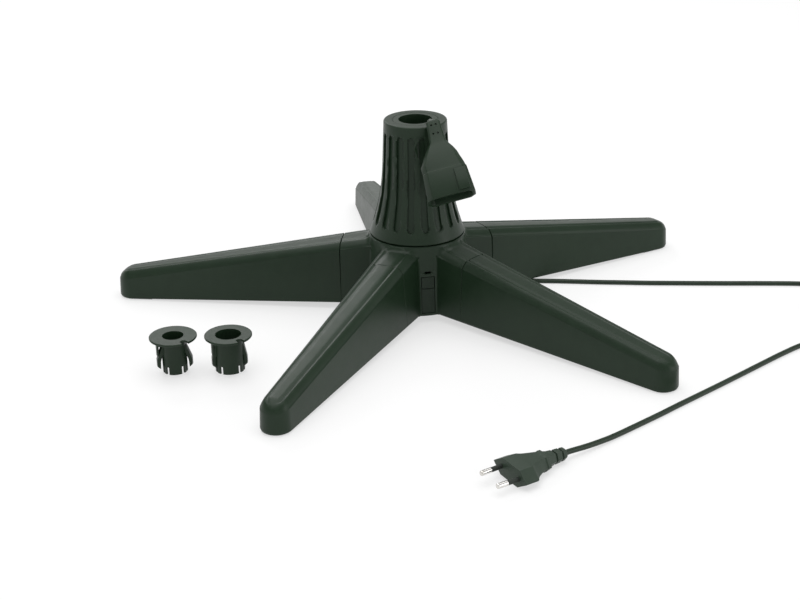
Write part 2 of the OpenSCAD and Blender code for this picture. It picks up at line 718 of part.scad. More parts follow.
module spindle() {
    color(dark_green) difference() {
        union() {
            translate([0, 0, stem_z]) cylinder(r = stem_r, h = well_z - stem_z + 1);
            translate([0, 0, well_z]) cylinder(r = spindle_r, h = well_top - well_z);
            translate([0, 0, collar_z]) cylinder(r = collar_r, h = collar_t);
        }
        translate([0, 0, well_z + well_floor]) cylinder(r = well_r, h = stand_h);
        translate([0, 0, stem_z - 1]) cylinder(r = 1.6, h = 12, $fn = 24);
        for (az = rotor_screw_az) rotate([0, 0, az]) translate([rotor_screw_at, 0, collar_z - 1])
            cylinder(r = 1.6, h = collar_t + 2, $fn = 24);
        rotate([0, 0, notch_az]) translate([lead_low_r, 0, collar_z - 1])
            cylinder(r = lead_d / 2 + 0.3, h = collar_t + 2, $fn = 32);
    }
}

module rotor_screws() {
    color(steel) for (az = rotor_screw_az) rotate([0, 0, az])
        translate([rotor_screw_at, 0, collar_z]) screw(2.3, 1.6, 1.15, collar_t + web_t - 2);
}

// ---- Gears ----

pressure = 25;

// Point of an involute from its base circle, at a radius
function involute(rb, r) = let (t = sqrt(max(0, pow(r / rb, 2) - 1)) * 180 / PI)
    polar(r, t - atan2(t * PI / 180, 1));
function involute_turn(rb, r) = let (p = involute(rb, r)) atan2(p[1], p[0]);

// Outline of one tooth, from its root on one side to its root on the other
function tooth(m, z, play) = let (rp = m * z / 2, rb = rp * cos(pressure), ra = rp + 0.9 * m,
        rf = rp - 1.15 * m, start = max(rb, rf + 0.1), at = involute_turn(rb, rp),
        half = 90 / z - play / rp * 90 / PI,
        flank = [for (k = [0 : 3]) let (r = lerp(start, ra, k / 3))
            [r, half + at - involute_turn(rb, r)]], foot = flank[0][1] + 0.1 * half)
    concat([polar(rf, -foot)], [for (f = flank) polar(f[0], -f[1])],
        [for (f = back(flank)) polar(f[0], f[1])], [polar(rf, foot)]);

module gear_outline(m, z, play) {
    polygon([for (i = [0 : z - 1]) let (a = 360 * i / z)
        for (p = tooth(m, z, play)) [p[0] * cos(a) - p[1] * sin(a), p[0] * sin(a) + p[1] * cos(a)]]);
}

gear_inner = gear_m * gear_teeth / 2 - 4;

module drive_gear() {
    color(white) difference() {
        union() {
            translate([0, 0, gear_z]) rotate(pinion_az) linear_extrude(gear_t) difference() {
                gear_outline(gear_m, gear_teeth, backlash / 2);
                circle(r = gear_inner);
            }
            // Web between the boss and the rim, thinner than both
            translate([0, 0, gear_z + gear_t / 2 - 1.3]) cylinder(r = gear_inner + 0.5, h = 2.6);
            translate([0, 0, stem_z]) cylinder(r = stem_r + 3, h = gear_boss);
        }
        for (i = [0 : 5]) rotate(60 * i) translate([(stem_r + 3 + gear_inner) / 2, 0, 0])
            cylinder(r = 2.2, h = 60, $fn = 32);
        translate([0, 0, stem_z - 1]) cylinder(r = stem_r, h = gear_boss + 2);
    }
}

module gear_screw() {
    color(steel) translate([0, 0, stem_z]) {
        translate([0, 0, -0.8]) cylinder(r = stem_r + 1.5, h = 0.8);
        translate([0, 0, -2.4]) cylinder(r = 3, h = 1.7, $fn = 32);
        translate([0, 0, -eps]) cylinder(r = 1.55, h = 10, $fn = 24);
    }
}

module at_pinion() {
    rotate([0, 0, pinion_az]) translate([gear_dist, 0, 0]) children();
}

module motor_pinion() {
    // Turned so that a gap faces the gear's tooth
    gap_turn = pinion_teeth % 2 == 0 ? 180 / pinion_teeth : 0;
    color(steel) at_pinion() {
        translate([0, 0, gear_z + 0.4]) rotate(gap_turn + 180)
            linear_extrude(gear_t - 0.8) gear_outline(gear_m, pinion_teeth, backlash / 2);
        translate([0, 0, plate_z + 0.3]) cylinder(r = shaft_r, h = gear_z + gear_t - plate_z);
    }
}

module gear_motor() {
    color(steel) rotate([0, 0, pinion_az]) difference() {
        union() {
            translate([gear_dist - shaft_offset, 0, motor_z]) cylinder(r = motor_r, h = motor_h);
            for (s = [-1, 1]) translate([gear_dist - shaft_offset, s * (motor_r + 3), plate_z - 1.6]) {
                cylinder(r = 3.6, h = 1.6, $fn = 32);
                translate([-3.6, s > 0 ? -6 : 0, 0]) cube([7.2, 6, 1.6]);
            }
        }
        for (s = [-1, 1]) translate([gear_dist - shaft_offset, s * (motor_r + 3), 0])
            cylinder(r = 1.6, h = 60, $fn = 24);
    }
}

module motor_screws() {
    color(steel) rotate([0, 0, pinion_az]) for (s = [-1, 1])
        translate([gear_dist - shaft_offset, s * (motor_r + 3), plate_z - 1.6])
            screw(2.6, 1.6, 1.25, 1.6 + plate_t);
}

// Plate that carries the motor, screwed to four bosses under the deck
module motor_plate() {
    color(steel) difference() {
        translate([0, 0, plate_z]) linear_extrude(plate_t) difference() {
            circle(r = drum_r(plate_z) - hub_wall - 1, $fn = 96);
            // Way for the switch and the wires
            translate([-switch_w / 2 - 3, -hub_base_r]) square([switch_w + 6, 17]);
        }
        for (az = plate_boss_az) rotate([0, 0, az]) translate([plate_boss_at, 0, 0])
            cylinder(r = 1.6, h = 60, $fn = 24);
        rotate([0, 0, pinion_az]) for (s = [-1, 1])
            translate([gear_dist - shaft_offset, s * (motor_r + 3), 0])
                cylinder(r = 1.25, h = 60, $fn = 24);
        at_pinion() cylinder(r = shaft_r + 1.5, h = 60, $fn = 32);
        cylinder(r = stem_r + 4, h = 60);
    }
}

module plate_screws() {
    color(steel) for (az = plate_boss_az) rotate([0, 0, az])
        translate([plate_boss_at, 0, plate_z]) screw(2.6, 1.6, 1.15, plate_t + 6);
}

// ---- Bearings, bushes and slip rings ----

module bush(z, flange_up) {
    color(white) difference() {
        union() {
            translate([0, 0, z]) cylinder(r = bush_r, h = bush_l);
            translate([0, 0, flange_up ? z + bush_l - eps : z - bush_flange])
                cylinder(r = bush_r + 1.8, h = bush_flange + eps);
        }
        translate([0, 0, z - 5]) cylinder(r = spindle_r + run_fit, h = bush_l + 10);
    }
}

module upper_bush() {
    bush(hub_h - bush_l, true);
}

module lower_bush() {
    bush(tower_z, false);
}

module race(z, groove_up) {
    color(steel) rotate_extrude($fn = 96) difference() {
        translate([bearing_in, z]) square([race_w, race_t]);
        translate([ball_ring_r, ball_z]) circle(r = ball_d / 2 + ball_gap, $fn = 64);
    }
}

module bearing_lower_race() {
    race(hub_h);
}

module bearing_upper_race() {
    race(upper_race_z);
}

module at_balls() {
    for (i = [0 : ball_n - 1]) rotate([0, 0, 360 * i / ball_n])
        translate([ball_ring_r, 0, ball_z]) children();
}

module bearing_balls() {
    color(steel) at_balls() sphere(d = ball_d, $fn = 32);
}

module bearing_cage() {
    color(copper) difference() {
        translate([0, 0, ball_z - cage_h / 2]) difference() {
            cylinder(r = bearing_out - 0.4, h = cage_h);
            translate([0, 0, -1]) cylinder(r = bearing_in + 0.4, h = 10);
        }
        at_balls() translate([0, 0, -5]) cylinder(r = ball_d / 2 + ball_gap, h = 10, $fn = 32);
    }
}

module ring_carrier() {
    low = ring_1_z - 0.9;
    color(white) difference() {
        union() {
            translate([0, 0, low]) cylinder(r = carrier_r, h = lead_foot - low);
            // Tab on which the lead ends
            rotate([0, 0, notch_az]) translate([spindle_r + 0.4, -3.2, lead_foot - 1.2])
                cube([lead_low_r + 2.4 - spindle_r - 0.4, 6.4, 1.2]);
        }
        translate([0, 0, low - 1]) cylinder(r = spindle_r, h = 30);
    }
}

module slip_rings() {
    color(copper) for (i = [0, 1]) translate([0, 0, ring_1_z + i * ring_pitch]) difference() {
        cylinder(r = slip_r, h = ring_h);
        translate([0, 0, -1]) cylinder(r = carrier_r, h = 30);
    }
}

brush_w = 5;
brush_l = 3.4;
holder_in = slip_r + 1.3;
// Outer face of the holder, whose corners stay clear of the races
holder_out = sqrt(pow(bearing_in - 0.5, 2) - pow(holder_w / 2, 2));

module brush_boxes() {
    rotate([0, 0, brush_az]) for (i = [0, 1])
        translate([slip_r + brush_gap, -brush_w / 2, ring_1_z + i * ring_pitch + 0.3])
            cube([brush_l, brush_w, ring_h - 0.6]);
}

module brushes() {
    color(copper) brush_boxes();
}

module brush_holder() {
    color(white) difference() {
        rotate([0, 0, brush_az]) translate([holder_in, -holder_w / 2, hub_h])
            cube([holder_out - holder_in, holder_w, ring_pitch + ring_h + 3.4]);
        brush_boxes();
        // Room for the flange of the upper bush
        translate([0, 0, hub_h - 1]) cylinder(r = bush_r + 2.1, h = 1 + bush_flange + 0.3);
    }
}

// ---- Hub fittings ----

module terminal_block() {
    color(white) rotate([0, 0, 318]) translate([21, -8, cover_z + cover_t]) difference() {
        cube([9, 16, 10]);
        for (y = [4.5, 11.5]) translate([4.5, y, 3]) cylinder(r = 1.8, h = 10, $fn = 24);
        for (y = [4.5, 11.5]) translate([-1, y, 4]) rotate([0, 90, 0])
            cylinder(r = 1.4, h = 12, $fn = 24);
    }
}

rocker_z = switch_z + switch_h - rocker_h;

rocker_pin_at = switch_r - 4.8;
rocker_pin_r = 1.5;

module at_rocker_pin() {
    translate([rocker_pin_at, 0, rocker_z + rocker_h / 2]) rotate([90, 0, 0]) children();
}

// Block of the switch: its lower face in the window and the case behind
module switch_body() {
    color(dark_green) rotate([0, 0, switch_az]) difference() {
        intersection() {
            drum_solid(0.5, hub_lift, hub_h);
            union() {
                translate([switch_r - 10, -switch_w / 2, switch_z])
                    cube([16, switch_w, switch_h - rocker_h - rocker_gap]);
                // Case, wider than the window, close behind the wall
                translate([switch_r - 13, -switch_w / 2 - 2, switch_z])
                    cube([case_out - switch_r + 13, switch_w + 4, switch_h + 2]);
            }
        }
        translate([switch_r - 9.6, -switch_w / 2 - rocker_gap, rocker_z - rocker_gap])
            cube([20, switch_w + 2 * rocker_gap, rocker_h + 2 * rocker_gap]);
        at_rocker_pin() cylinder(r = rocker_pin_r + 0.05, h = switch_w + 2.8, center = true, $fn = 32);
    }
}

// Rocker on its pin, its face along the drum
module switch_rocker() {
    color(dark_green) rotate([0, 0, switch_az]) {
        intersection() {
            drum_solid(0.3, hub_lift, hub_h);
            translate([rocker_pin_at - 2.2, -switch_w / 2 + 0.2, rocker_z + 0.2])
                cube([14, switch_w - 0.4, rocker_h - 0.4]);
        }
        at_rocker_pin() cylinder(r = rocker_pin_r, h = switch_w + 2.4, center = true, $fn = 32);
    }
}

gland_z = cover_z + cover_t + 0.3 + gland_nut_r;
gland_face = drum_r(gland_z) + 0.2;
gland_tip = gland_face + 2 + gland_l;

module at_gland() {
    rotate([0, 0, gland_az]) translate([0, 0, gland_z]) rotate([0, 90, 0]) children();
}

// Gland in the wall under the stub: nut, neck, flange and tapered sleeve
module cord_gland() {
    color(dark_green) at_gland() {
        rotate_extrude($fn = 48) polygon([[0, gland_face - 8], [gland_nut_r, gland_face - 8],
            [gland_nut_r, gland_face - 4.2], [gland_r - 0.1, gland_face - 4.2],
            [gland_r - 0.1, gland_face], [5.4, gland_face], [5.4, gland_face + 2],
            [4.4, gland_face + 2], [cord_d / 2 + 0.7, gland_tip], [0, gland_tip]]);
    }
}

// ---- Inserts ----

module notch(z, t, inner_r) {
    rotate([0, 0, notch_az]) translate([0, 0, z]) linear_extrude(t) {
        translate([inner_r + notch_w / 2, 0]) circle(r = notch_w / 2, $fn = 32);
        translate([inner_r + notch_w / 2, -notch_w / 2]) square([10, notch_w]);
    }
}

// Insert that fills the sleeve: plain barrel, slotted at its foot
module pole_insert() {
    r = sleeve_r - insert_fit;
    z0 = stand_h - insert_h;
    color(green) difference() {
        union() {
            translate([0, 0, z0]) cylinder(r = r, h = insert_h);
            translate([0, 0, stand_h - flange_t]) cylinder(r = flange_r, h = flange_t);
        }
        translate([0, 0, z0 - 1]) cylinder(r = pole_r, h = insert_h + 2);
        notch(stand_h - flange_t - 0.5, 5, r);
        for (i = [0 : 3]) rotate([0, 0, notch_az + 45 + 90 * i])
            translate([pole_r - 2, -1, z0 - 1]) cube([6, 2, 13]);
    }
}

// Loose insert: barrel cut into fingers, with two sprung wings that centre it
module loose_insert(bore, view_az) {
    r = bore + barrel_wall;
    color(green) difference() {
        union() {
            cylinder(r = r, h = insert_h);
            translate([0, 0, insert_h - flange_t]) rotate_extrude() polygon([[0, 0],
                [flange_r - 0.3, 0], [flange_r, 0.4], [flange_r, flange_t - 0.4],
                [flange_r - 0.4, flange_t], [0, flange_t]]);
            // Wings, flared outwards from the barrel and drawn in at the foot
            intersection() {
                rotate_extrude() polygon([[r - 0.5, 25], [r + 0.4, 25], [wing_r, 13.5],
                    [wing_r, 8], [wing_r - 2.2, 6], [wing_r - 2.6, 12.5], [r - 0.5, 21]]);
                for (a = [0, 180]) rotate([0, 0, view_az + 90 + a])
                    translate([0, -4.6, 0]) cube([40, 9.2, 40]);
            }
            // Key under the flange, with its window
            intersection() {
                rotate_extrude() difference() {
                    translate([r - 0.5, 17.5]) square([wing_r - 0.2 - r + 0.5, 14]);
                    translate([r + 0.6, 16.5]) square([max(0.4, wing_r - r - 2), 9]);
                }
                rotate([0, 0, view_az - 90]) translate([0, -5, 0]) cube([40, 10, 40]);
            }
        }
        translate([0, 0, -1]) cylinder(r = bore, h = insert_h + 2);
        notch(insert_h - flange_t - 0.5, 5, max(r, 13.2));
        // Slots beside the wide finger in front and behind, and beside each wing
        for (a = [38, 142, 218, 322]) rotate([0, 0, view_az + a])
            translate([0, -1.2, -1]) cube([30, 2.4, 9.5]);
        for (a = [65, 115, 245, 295]) rotate([0, 0, view_az + a])
            translate([0, -0.7, -1]) cube([r + 0.6, 1.4, 17]);
        // Narrow fingers beside the slots end higher than the wide ones
        for (a = [90, 270]) rotate([0, 0, view_az + a])
            translate([0, -r - 1, -1]) cube([r + 1, 2 * r + 2, 3.2]);
    }
}

module small_insert() {
    translate([small_at[0], small_at[1], 0]) loose_insert(small_pole_r, -92);
}

module middle_insert() {
    translate([mid_at[0], mid_at[1], 0]) loose_insert(mid_pole_r, -92);
}

// ---- Coupling ----
// Its own frame has +Z from the pivot to the mouth, +X across and +Y outwards.

pivot = [8.6, -25.3, stand_h + 3.6];
coupling_az = -82.7;
coupling_tilt = 43.7;
coupling_twist = 19.5;
knuckle_r = 2.1;

module at_coupling() {
    translate(pivot) rotate([0, 0, coupling_az]) rotate([0, 180 - coupling_tilt, 0])
        rotate([0, 0, 90 + coupling_twist]) children();
}

// Radius at which the lead runs in the sleeve's slot, and lower down beside the sleeve
lead_slot_r = flange_r + 0.1 - lead_d / 2;
lead_low_r = rotor_screw_at;
lead_foot = collar_z - 1.8;
// Length of the slot in the sleeve, from the top of the stand
lead_slot_l = 45;

// Lead: up from the slip rings beside the sleeve, through its slot, over the ring
// and into the coupling's relief
module coupling_lead() {
    a = polar(1, notch_az);
    function at(r, z) = [r * a[0], r * a[1], z];
    line = spline([at(lead_low_r, lead_foot), at(lead_low_r, lead_foot + 6),
        at(lead_low_r, stand_h - lead_slot_l - 4), at(lead_low_r - 0.4, stand_h - lead_slot_l + 8),
        at(lead_slot_r + 0.4, stand_h - lead_slot_l + 20),
        at(lead_slot_r, stand_h - 12), at(lead_slot_r, stand_h - 5),
        at(lead_slot_r * 1.01, stand_h - 0.5), at(lead_slot_r * 1.1, stand_h + 2.2),
        [pivot[0] + 0.3, pivot[1] + 3.4, pivot[2] + 0.2], pivot], 3);
    // Each ring turns about the lead's own side, since the lead runs upright at first
    side = [-a[1], a[0], 0];
    rings = [for (i = [0 : len(line) - 1])
        let (t = unit(line[min(len(line) - 1, i + 1)] - line[max(0, i - 1)]),
            s = unit(side - (side * t) * t), u = cross(t, s))
        [for (k = [0 : 9]) line[i] + lead_d / 2 * (cos(36 * k) * s + sin(36 * k) * u)]];
    color(dark_green) {
        loft(rings);
        at_coupling() translate([-3, 0, 0]) rotate([0, 90, 0])
            cylinder(r = knuckle_r, h = 6, $fn = 32);
    }
}

// Stations of the coupling's skin: distance, half width, half thickness, sideways offset
relief_form = [[knuckle_r + 0.35, 4.4, 2.4, 1.3], [6, 4.8, 2.6, 1.2], [14, 5.8, 3, 0.9],
    [19, 7, 3.6, 0.7], [23, 9.2, 4.6, 0.4], [28, 12.2, 5.8, 0.2], [34, 15.2, 7.2, 0],
    [40, 17.1, 8.2, 0], [45.5, 17.7, 8.6, 0]];
seam_at = 45.5;

module coupling_skin() {
    half_w = coupling_w / 2;
    half_t = coupling_t / 2;
    body = [[seam_at + 0.3, half_w - 1.6, half_t - 0.4], [seam_at + 2, half_w - 1.4, half_t - 0.1],
        [coupling_l - 1, half_w, half_t], [coupling_l, half_w - 0.6, half_t - 0.6]];
    loft(concat([for (s = relief_form) oval(s[1], s[2], s[0], s[3])],
        [for (s = body) oval(s[1], s[2], s[0])]));
}

function mouth_oval(grow, z) = oval(coupling_w / 2 - coupling_wall + grow,
    coupling_t / 2 - coupling_wall + grow, z);
face_t = 12;

module coupling_housing() {
    color(green) at_coupling() difference() {
        coupling_skin();
        loft([mouth_oval(-0.6, coupling_l - mouth_d - face_t), mouth_oval(0, coupling_l + 1)]);
        // Two pairs of holes through the relief
        for (z = [3.6, 12.2], s = [-1, 1])
            translate([s * 1.9 + 1.4 - z * 0.035, -10, z]) rotate([-90, 0, 0])
                cylinder(r = 0.75, h = 20, $fn = 16);
    }
}

// Block behind the mouth, with the two holes that take the pins
module coupling_face() {
    z0 = coupling_l - mouth_d - face_t + 0.2;
    color(dark_green) at_coupling() difference() {
        loft([mouth_oval(-1.2, z0), mouth_oval(-1.2, coupling_l - mouth_d)]);
        for (s = [-1, 1]) translate([s * pin_pitch / 2, 0, z0 - 1])
            cylinder(r = contact_r, h = 30, $fn = 32);
    }
}

contact_r = 2.9;

module coupling_contacts() {
    z0 = coupling_l - mouth_d - face_t + 0.6;
    color(copper) at_coupling() for (s = [-1, 1]) translate([s * pin_pitch / 2, 0, z0])
        difference() {
            cylinder(r = contact_r, h = face_t - 1.4, $fn = 32);
            translate([0, 0, 1]) cylinder(r = pin_d / 2 + 0.1, h = 30, $fn = 32);
        }
}

// ---- Cord ----
// The cord leaves the gland, drops to the floor under the fifth leg and runs out to the
// right, is coiled there, and comes back to the plug in front. Points were chosen by hand.

cord_z = cord_d / 2;
gland_xy = polar(gland_tip, gland_az);
coil_at = [356, -110];
coil_pitch = cord_d + coil_gap;
coil_leave = -74.4;
coil_angle = 360 * coil_turns - coil_leave;
coil_rings = 24 * coil_turns + 4;
coil_lead = 5;

back_points = concat([[gland_xy[0], gland_xy[1], gland_z],
        [gland_xy[0] + 5, gland_xy[1] + 1.6, gland_z - 0.2]],
    [[78, 23.6, 11.2], [89, 23.6, 6.8], [99, 21.4, 3.6], [110, 18.2, cord_z], [132, 11.7, cord_z],
     [166, 0.9, cord_z], [187, -5.3, cord_z], [208, -11.5, cord_z], [230, -17.3, cord_z],
     [249, -22.3, cord_z], [275, -29, cord_z], [305, -36.5, cord_z], [336, -45, cord_z],
     [358, -54, cord_z], [376, -69, cord_z], [386, -87, cord_z]]);

// Turns lie in two layers: inwards on the floor, up over half a turn, and outwards again
function coil_point(a) = let (mid = coil_angle / 2,
        r = coil_r - coil_pitch * min(a, coil_angle - a) / 360,
        up = max(0, min(1, (a - mid + 90) / 180)), ease = up * up * (3 - 2 * up))
    [coil_at[0] + r * cos(-a), coil_at[1] + r * sin(-a), cord_z + coil_pitch * ease];
coil_start = [coil_at[0] + coil_r, coil_at[1] + coil_lead, cord_z];
coil_way = [-sin(coil_angle), -cos(coil_angle), 0];
coil_line = concat([coil_start],
    [for (i = [0 : coil_rings]) coil_point(coil_angle * i / coil_rings)],
    [coil_point(coil_angle) + coil_lead * coil_way]);
coil_end = coil_line[len(coil_line) - 1];

plug_at = [-2.3, -321.9, 7.9];
plug_az = -154.7;
plug_roll = -6.9;
plug_pitch = 2.5;
plug_way = [cos(plug_pitch) * cos(plug_az), cos(plug_pitch) * sin(plug_az), sin(plug_pitch)];
plug_tail = plug_at - plug_l * plug_way;

front_points = concat([coil_end, coil_end + 6 * coil_way + [0, 0, -0.6]],
    [[336, -150, 4.4], [320, -153.6, 2.8], [302, -158, cord_z], [282, -165.4, cord_z],
     [262, -176, cord_z], [240, -189, cord_z], [215, -204, cord_z], [190, -218.8, cord_z],
     [169, -231, cord_z], [151.4, -241.2, cord_z], [131.3, -253.2, cord_z],
     [111.8, -264.3, cord_z], [88.3, -277.8, 2.4], [74.8, -285.2, 3.2], [62, -291.8, 4.3]],
    [plug_tail - 5 * plug_way + [0.2, 0.3, 0], plug_tail]);

function dist_gap(line, apart) = min([for (i = [0 : len(line) - 1], j = [i + apart : 1 : len(line) - 1])
    norm(line[i] - line[j])]) - cord_d;

module cord_back_run() {
    line = spline(concat(back_points, [coil_start + [0, 5, 0], coil_start]), 3);
    color(dark_green) loft(tube_rings(line, cord_d, 10));
}

module cord_coil() {
    echo(coil_least_gap = dist_gap(coil_line, 12));
    color(dark_green) loft(tube_rings(coil_line, cord_d, 6));
}

module cord_front_run() {
    color(dark_green) loft(tube_rings(spline(front_points, 3), cord_d, 10));
}

// ---- Plug ----
// Its own frame has +Z from the face towards the pins, +X across and +Y up.

module at_plug() {
    translate(plug_at) rotate([0, 0, plug_az]) rotate([0, -plug_pitch, 0])
        rotate([0, 90, 0]) rotate([0, 0, 90 + plug_roll]) children();
}

// Stations of the plug behind its face: distance, share of half width, share of half thickness
plug_form = [[54, 0.24, 0.6], [52, 0.27, 0.66], [50.6, 0.27, 0.66], [50.5, 0.23, 0.56], [49, 0.23, 0.56],
    [48.9, 0.3, 0.7], [46, 0.31, 0.72], [45.9, 0.25, 0.6], [44.4, 0.25, 0.6],
    [44.3, 0.33, 0.76], [41.5, 0.35, 0.8], [39.6, 0.4, 0.84], [38.6, 0.52, 0.9], [36.6, 0.52, 0.92],
    [35, 0.45, 0.9], [31, 0.5, 0.92], [27, 0.6, 0.96], [23, 0.76, 0.99], [20, 0.95, 1],
    [18.5, 0.99, 1], [0.8, 1, 1], [0, 0.97, 0.93]];

module plug_body() {
    k = plug_l / plug_form[0][0];
    color(green) at_plug() difference() {
        loft([for (s = plug_form) oval(s[1] * plug_w / 2, s[2] * plug_t / 2, -s[0] * k,
            n = 24, p = 3)]);
        at_pins() translate([0, 0, -8]) cylinder(r = sleeve_pin_r, h = 12, $fn = 32);
    }
}

module at_pins() {
    lean = asin(pin_close / 2 / pin_l);
    for (s = [-1, 1]) translate([s * pin_pitch / 2, 0, 0]) rotate([0, -s * lean, 0]) children();
}

// Radius of the insulating sleeve, a little under the pin's
sleeve_pin_r = pin_d / 2 - 0.2;
pin_core_r = sleeve_pin_r - 0.4;

module plug_pins() {
    color(steel) at_plug() at_pins() {
        translate([0, 0, -8]) cylinder(r = pin_core_r, h = pin_sleeve_l + 8.5, $fn = 32);
        translate([0, 0, pin_sleeve_l]) cylinder(r = pin_d / 2, h = pin_l - pin_sleeve_l - 1, $fn = 32);
        translate([0, 0, pin_l - 1]) rotate_extrude($fn = 32) polygon([[0, 0], [pin_d / 2, 0],
            [pin_d / 2 * 0.87, 0.5], [pin_d / 4, 0.87], [0, 1]]);
    }
}

module plug_sleeves() {
    color(rubber) at_plug() at_pins() difference() {
        translate([0, 0, -8]) cylinder(r = sleeve_pin_r, h = pin_sleeve_l + 8, $fn = 32);
        translate([0, 0, -9]) cylinder(r = pin_core_r, h = 40, $fn = 32);
    }
}

hub_casing();
bottom_cover();
cover_screws();
at_leg(1) leg();  // leg_1
at_leg(2) leg();  // leg_2
at_leg(3) leg();  // leg_3
at_leg(4) leg();  // leg_4
at_leg(5) leg();  // leg_5
foot_pads();
rotor_cone();
spindle();
rotor_screws();
drive_gear();
gear_screw();
ring_carrier();
slip_rings();
brush_holder();
brushes();
upper_bush();
lower_bush();
bearing_lower_race();
bearing_balls();
bearing_cage();
bearing_upper_race();
motor_plate();
plate_screws();
gear_motor();
motor_screws();
motor_pinion();
terminal_block();
switch_body();
switch_rocker();
pole_insert();
small_insert();
middle_insert();
coupling_lead();
coupling_housing();
coupling_face();
coupling_contacts();
cord_gland();
cord_back_run();
cord_coil();
cord_front_run();
plug_body();
plug_pins();
plug_sleeves();
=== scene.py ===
"""Dressed model of a rotating christmas tree stand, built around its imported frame.

The frame gives every rigid part at its place. This script gives the mouldings their smooth
skins, lays the mains cord, models the flat plug, and dresses every part with its finish.
Pieces are sized in millimetres, and finishes and the studio in metres; a class or function
that differs says so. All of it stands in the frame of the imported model: origin on the floor
under the rotor's axis, +Z up.
"""

import json
import logging
import math
from dataclasses import dataclass, field
from enum import Enum
from typing import Callable, Iterable, Sequence

import bpy
from mathutils import Matrix, Vector


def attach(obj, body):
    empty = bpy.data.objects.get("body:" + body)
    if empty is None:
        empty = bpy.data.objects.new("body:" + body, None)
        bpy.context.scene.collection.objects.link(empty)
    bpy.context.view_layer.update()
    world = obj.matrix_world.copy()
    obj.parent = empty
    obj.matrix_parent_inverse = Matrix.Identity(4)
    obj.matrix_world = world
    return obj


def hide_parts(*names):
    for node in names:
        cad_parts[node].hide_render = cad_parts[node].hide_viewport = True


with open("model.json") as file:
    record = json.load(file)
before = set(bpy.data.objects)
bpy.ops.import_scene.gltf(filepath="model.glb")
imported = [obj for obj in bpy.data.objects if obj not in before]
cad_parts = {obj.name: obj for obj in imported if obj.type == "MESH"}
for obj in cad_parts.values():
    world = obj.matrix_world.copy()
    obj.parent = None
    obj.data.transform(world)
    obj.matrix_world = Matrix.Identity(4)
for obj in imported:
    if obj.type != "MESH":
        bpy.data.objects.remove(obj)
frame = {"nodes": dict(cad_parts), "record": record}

LOG = logging.getLogger("tree_stand")
MM = 0.001
LEVEL = 1e-6  # metres within which two heights are the same

Point = tuple[float, float, float]


class Body(Enum):
    """Rigid bodies of the stand that pieces ride on."""

    BASE = "base"
    ROTOR = "rotor"
    PINION = "pinion"
    CAGE = "cage"
    INSERT = "insert"
    COUPLING = "coupling"
    ROCKER = "rocker"


# ---- Shader graph ----


class Signal:
    """A socket of a shader graph, with arithmetic that adds Math nodes."""

    def __init__(self, graph: "Graph", socket: bpy.types.NodeSocket) -> None:
        """Keeps a graph and one of its output sockets.

        Args:
            graph: Graph that owns the socket.
            socket: Output socket of one of its nodes.
        """
        self.graph = graph
        self.socket = socket

    def _math(self, operation: str, *values: "Signal | float") -> "Signal":
        """Adds a Math node.

        Args:
            operation: Name of the operation.
            values: Its inputs in order.

        Returns:
            The node's result.
        """
        return self.graph.node("ShaderNodeMath", {"operation": operation},
                               {i: v for i, v in enumerate(values)})

    def __add__(self, other: "Signal | float") -> "Signal":
        """Sum."""
        return self._math("ADD", self, other)

    __radd__ = __add__

    def __mul__(self, other: "Signal | float") -> "Signal":
        """Product."""
        return self._math("MULTIPLY", self, other)

    __rmul__ = __mul__

    def __sub__(self, other: "Signal | float") -> "Signal":
        """Difference."""
        return self._math("SUBTRACT", self, other)

    def __rsub__(self, other: float) -> "Signal":
        """Difference from a number."""
        return self._math("SUBTRACT", other, self)

    def above(self, low: float, high: float) -> "Signal":
        """Share, from 0 to 1, of the way from low to high.

        Args:
            low: Value that gives 0.
            high: Value that gives 1.

        Returns:
            The clamped share.
        """
        return self.graph.node("ShaderNodeMapRange", {"clamp": True},
                               {"Value": self, "From Min": low, "From Max": high})


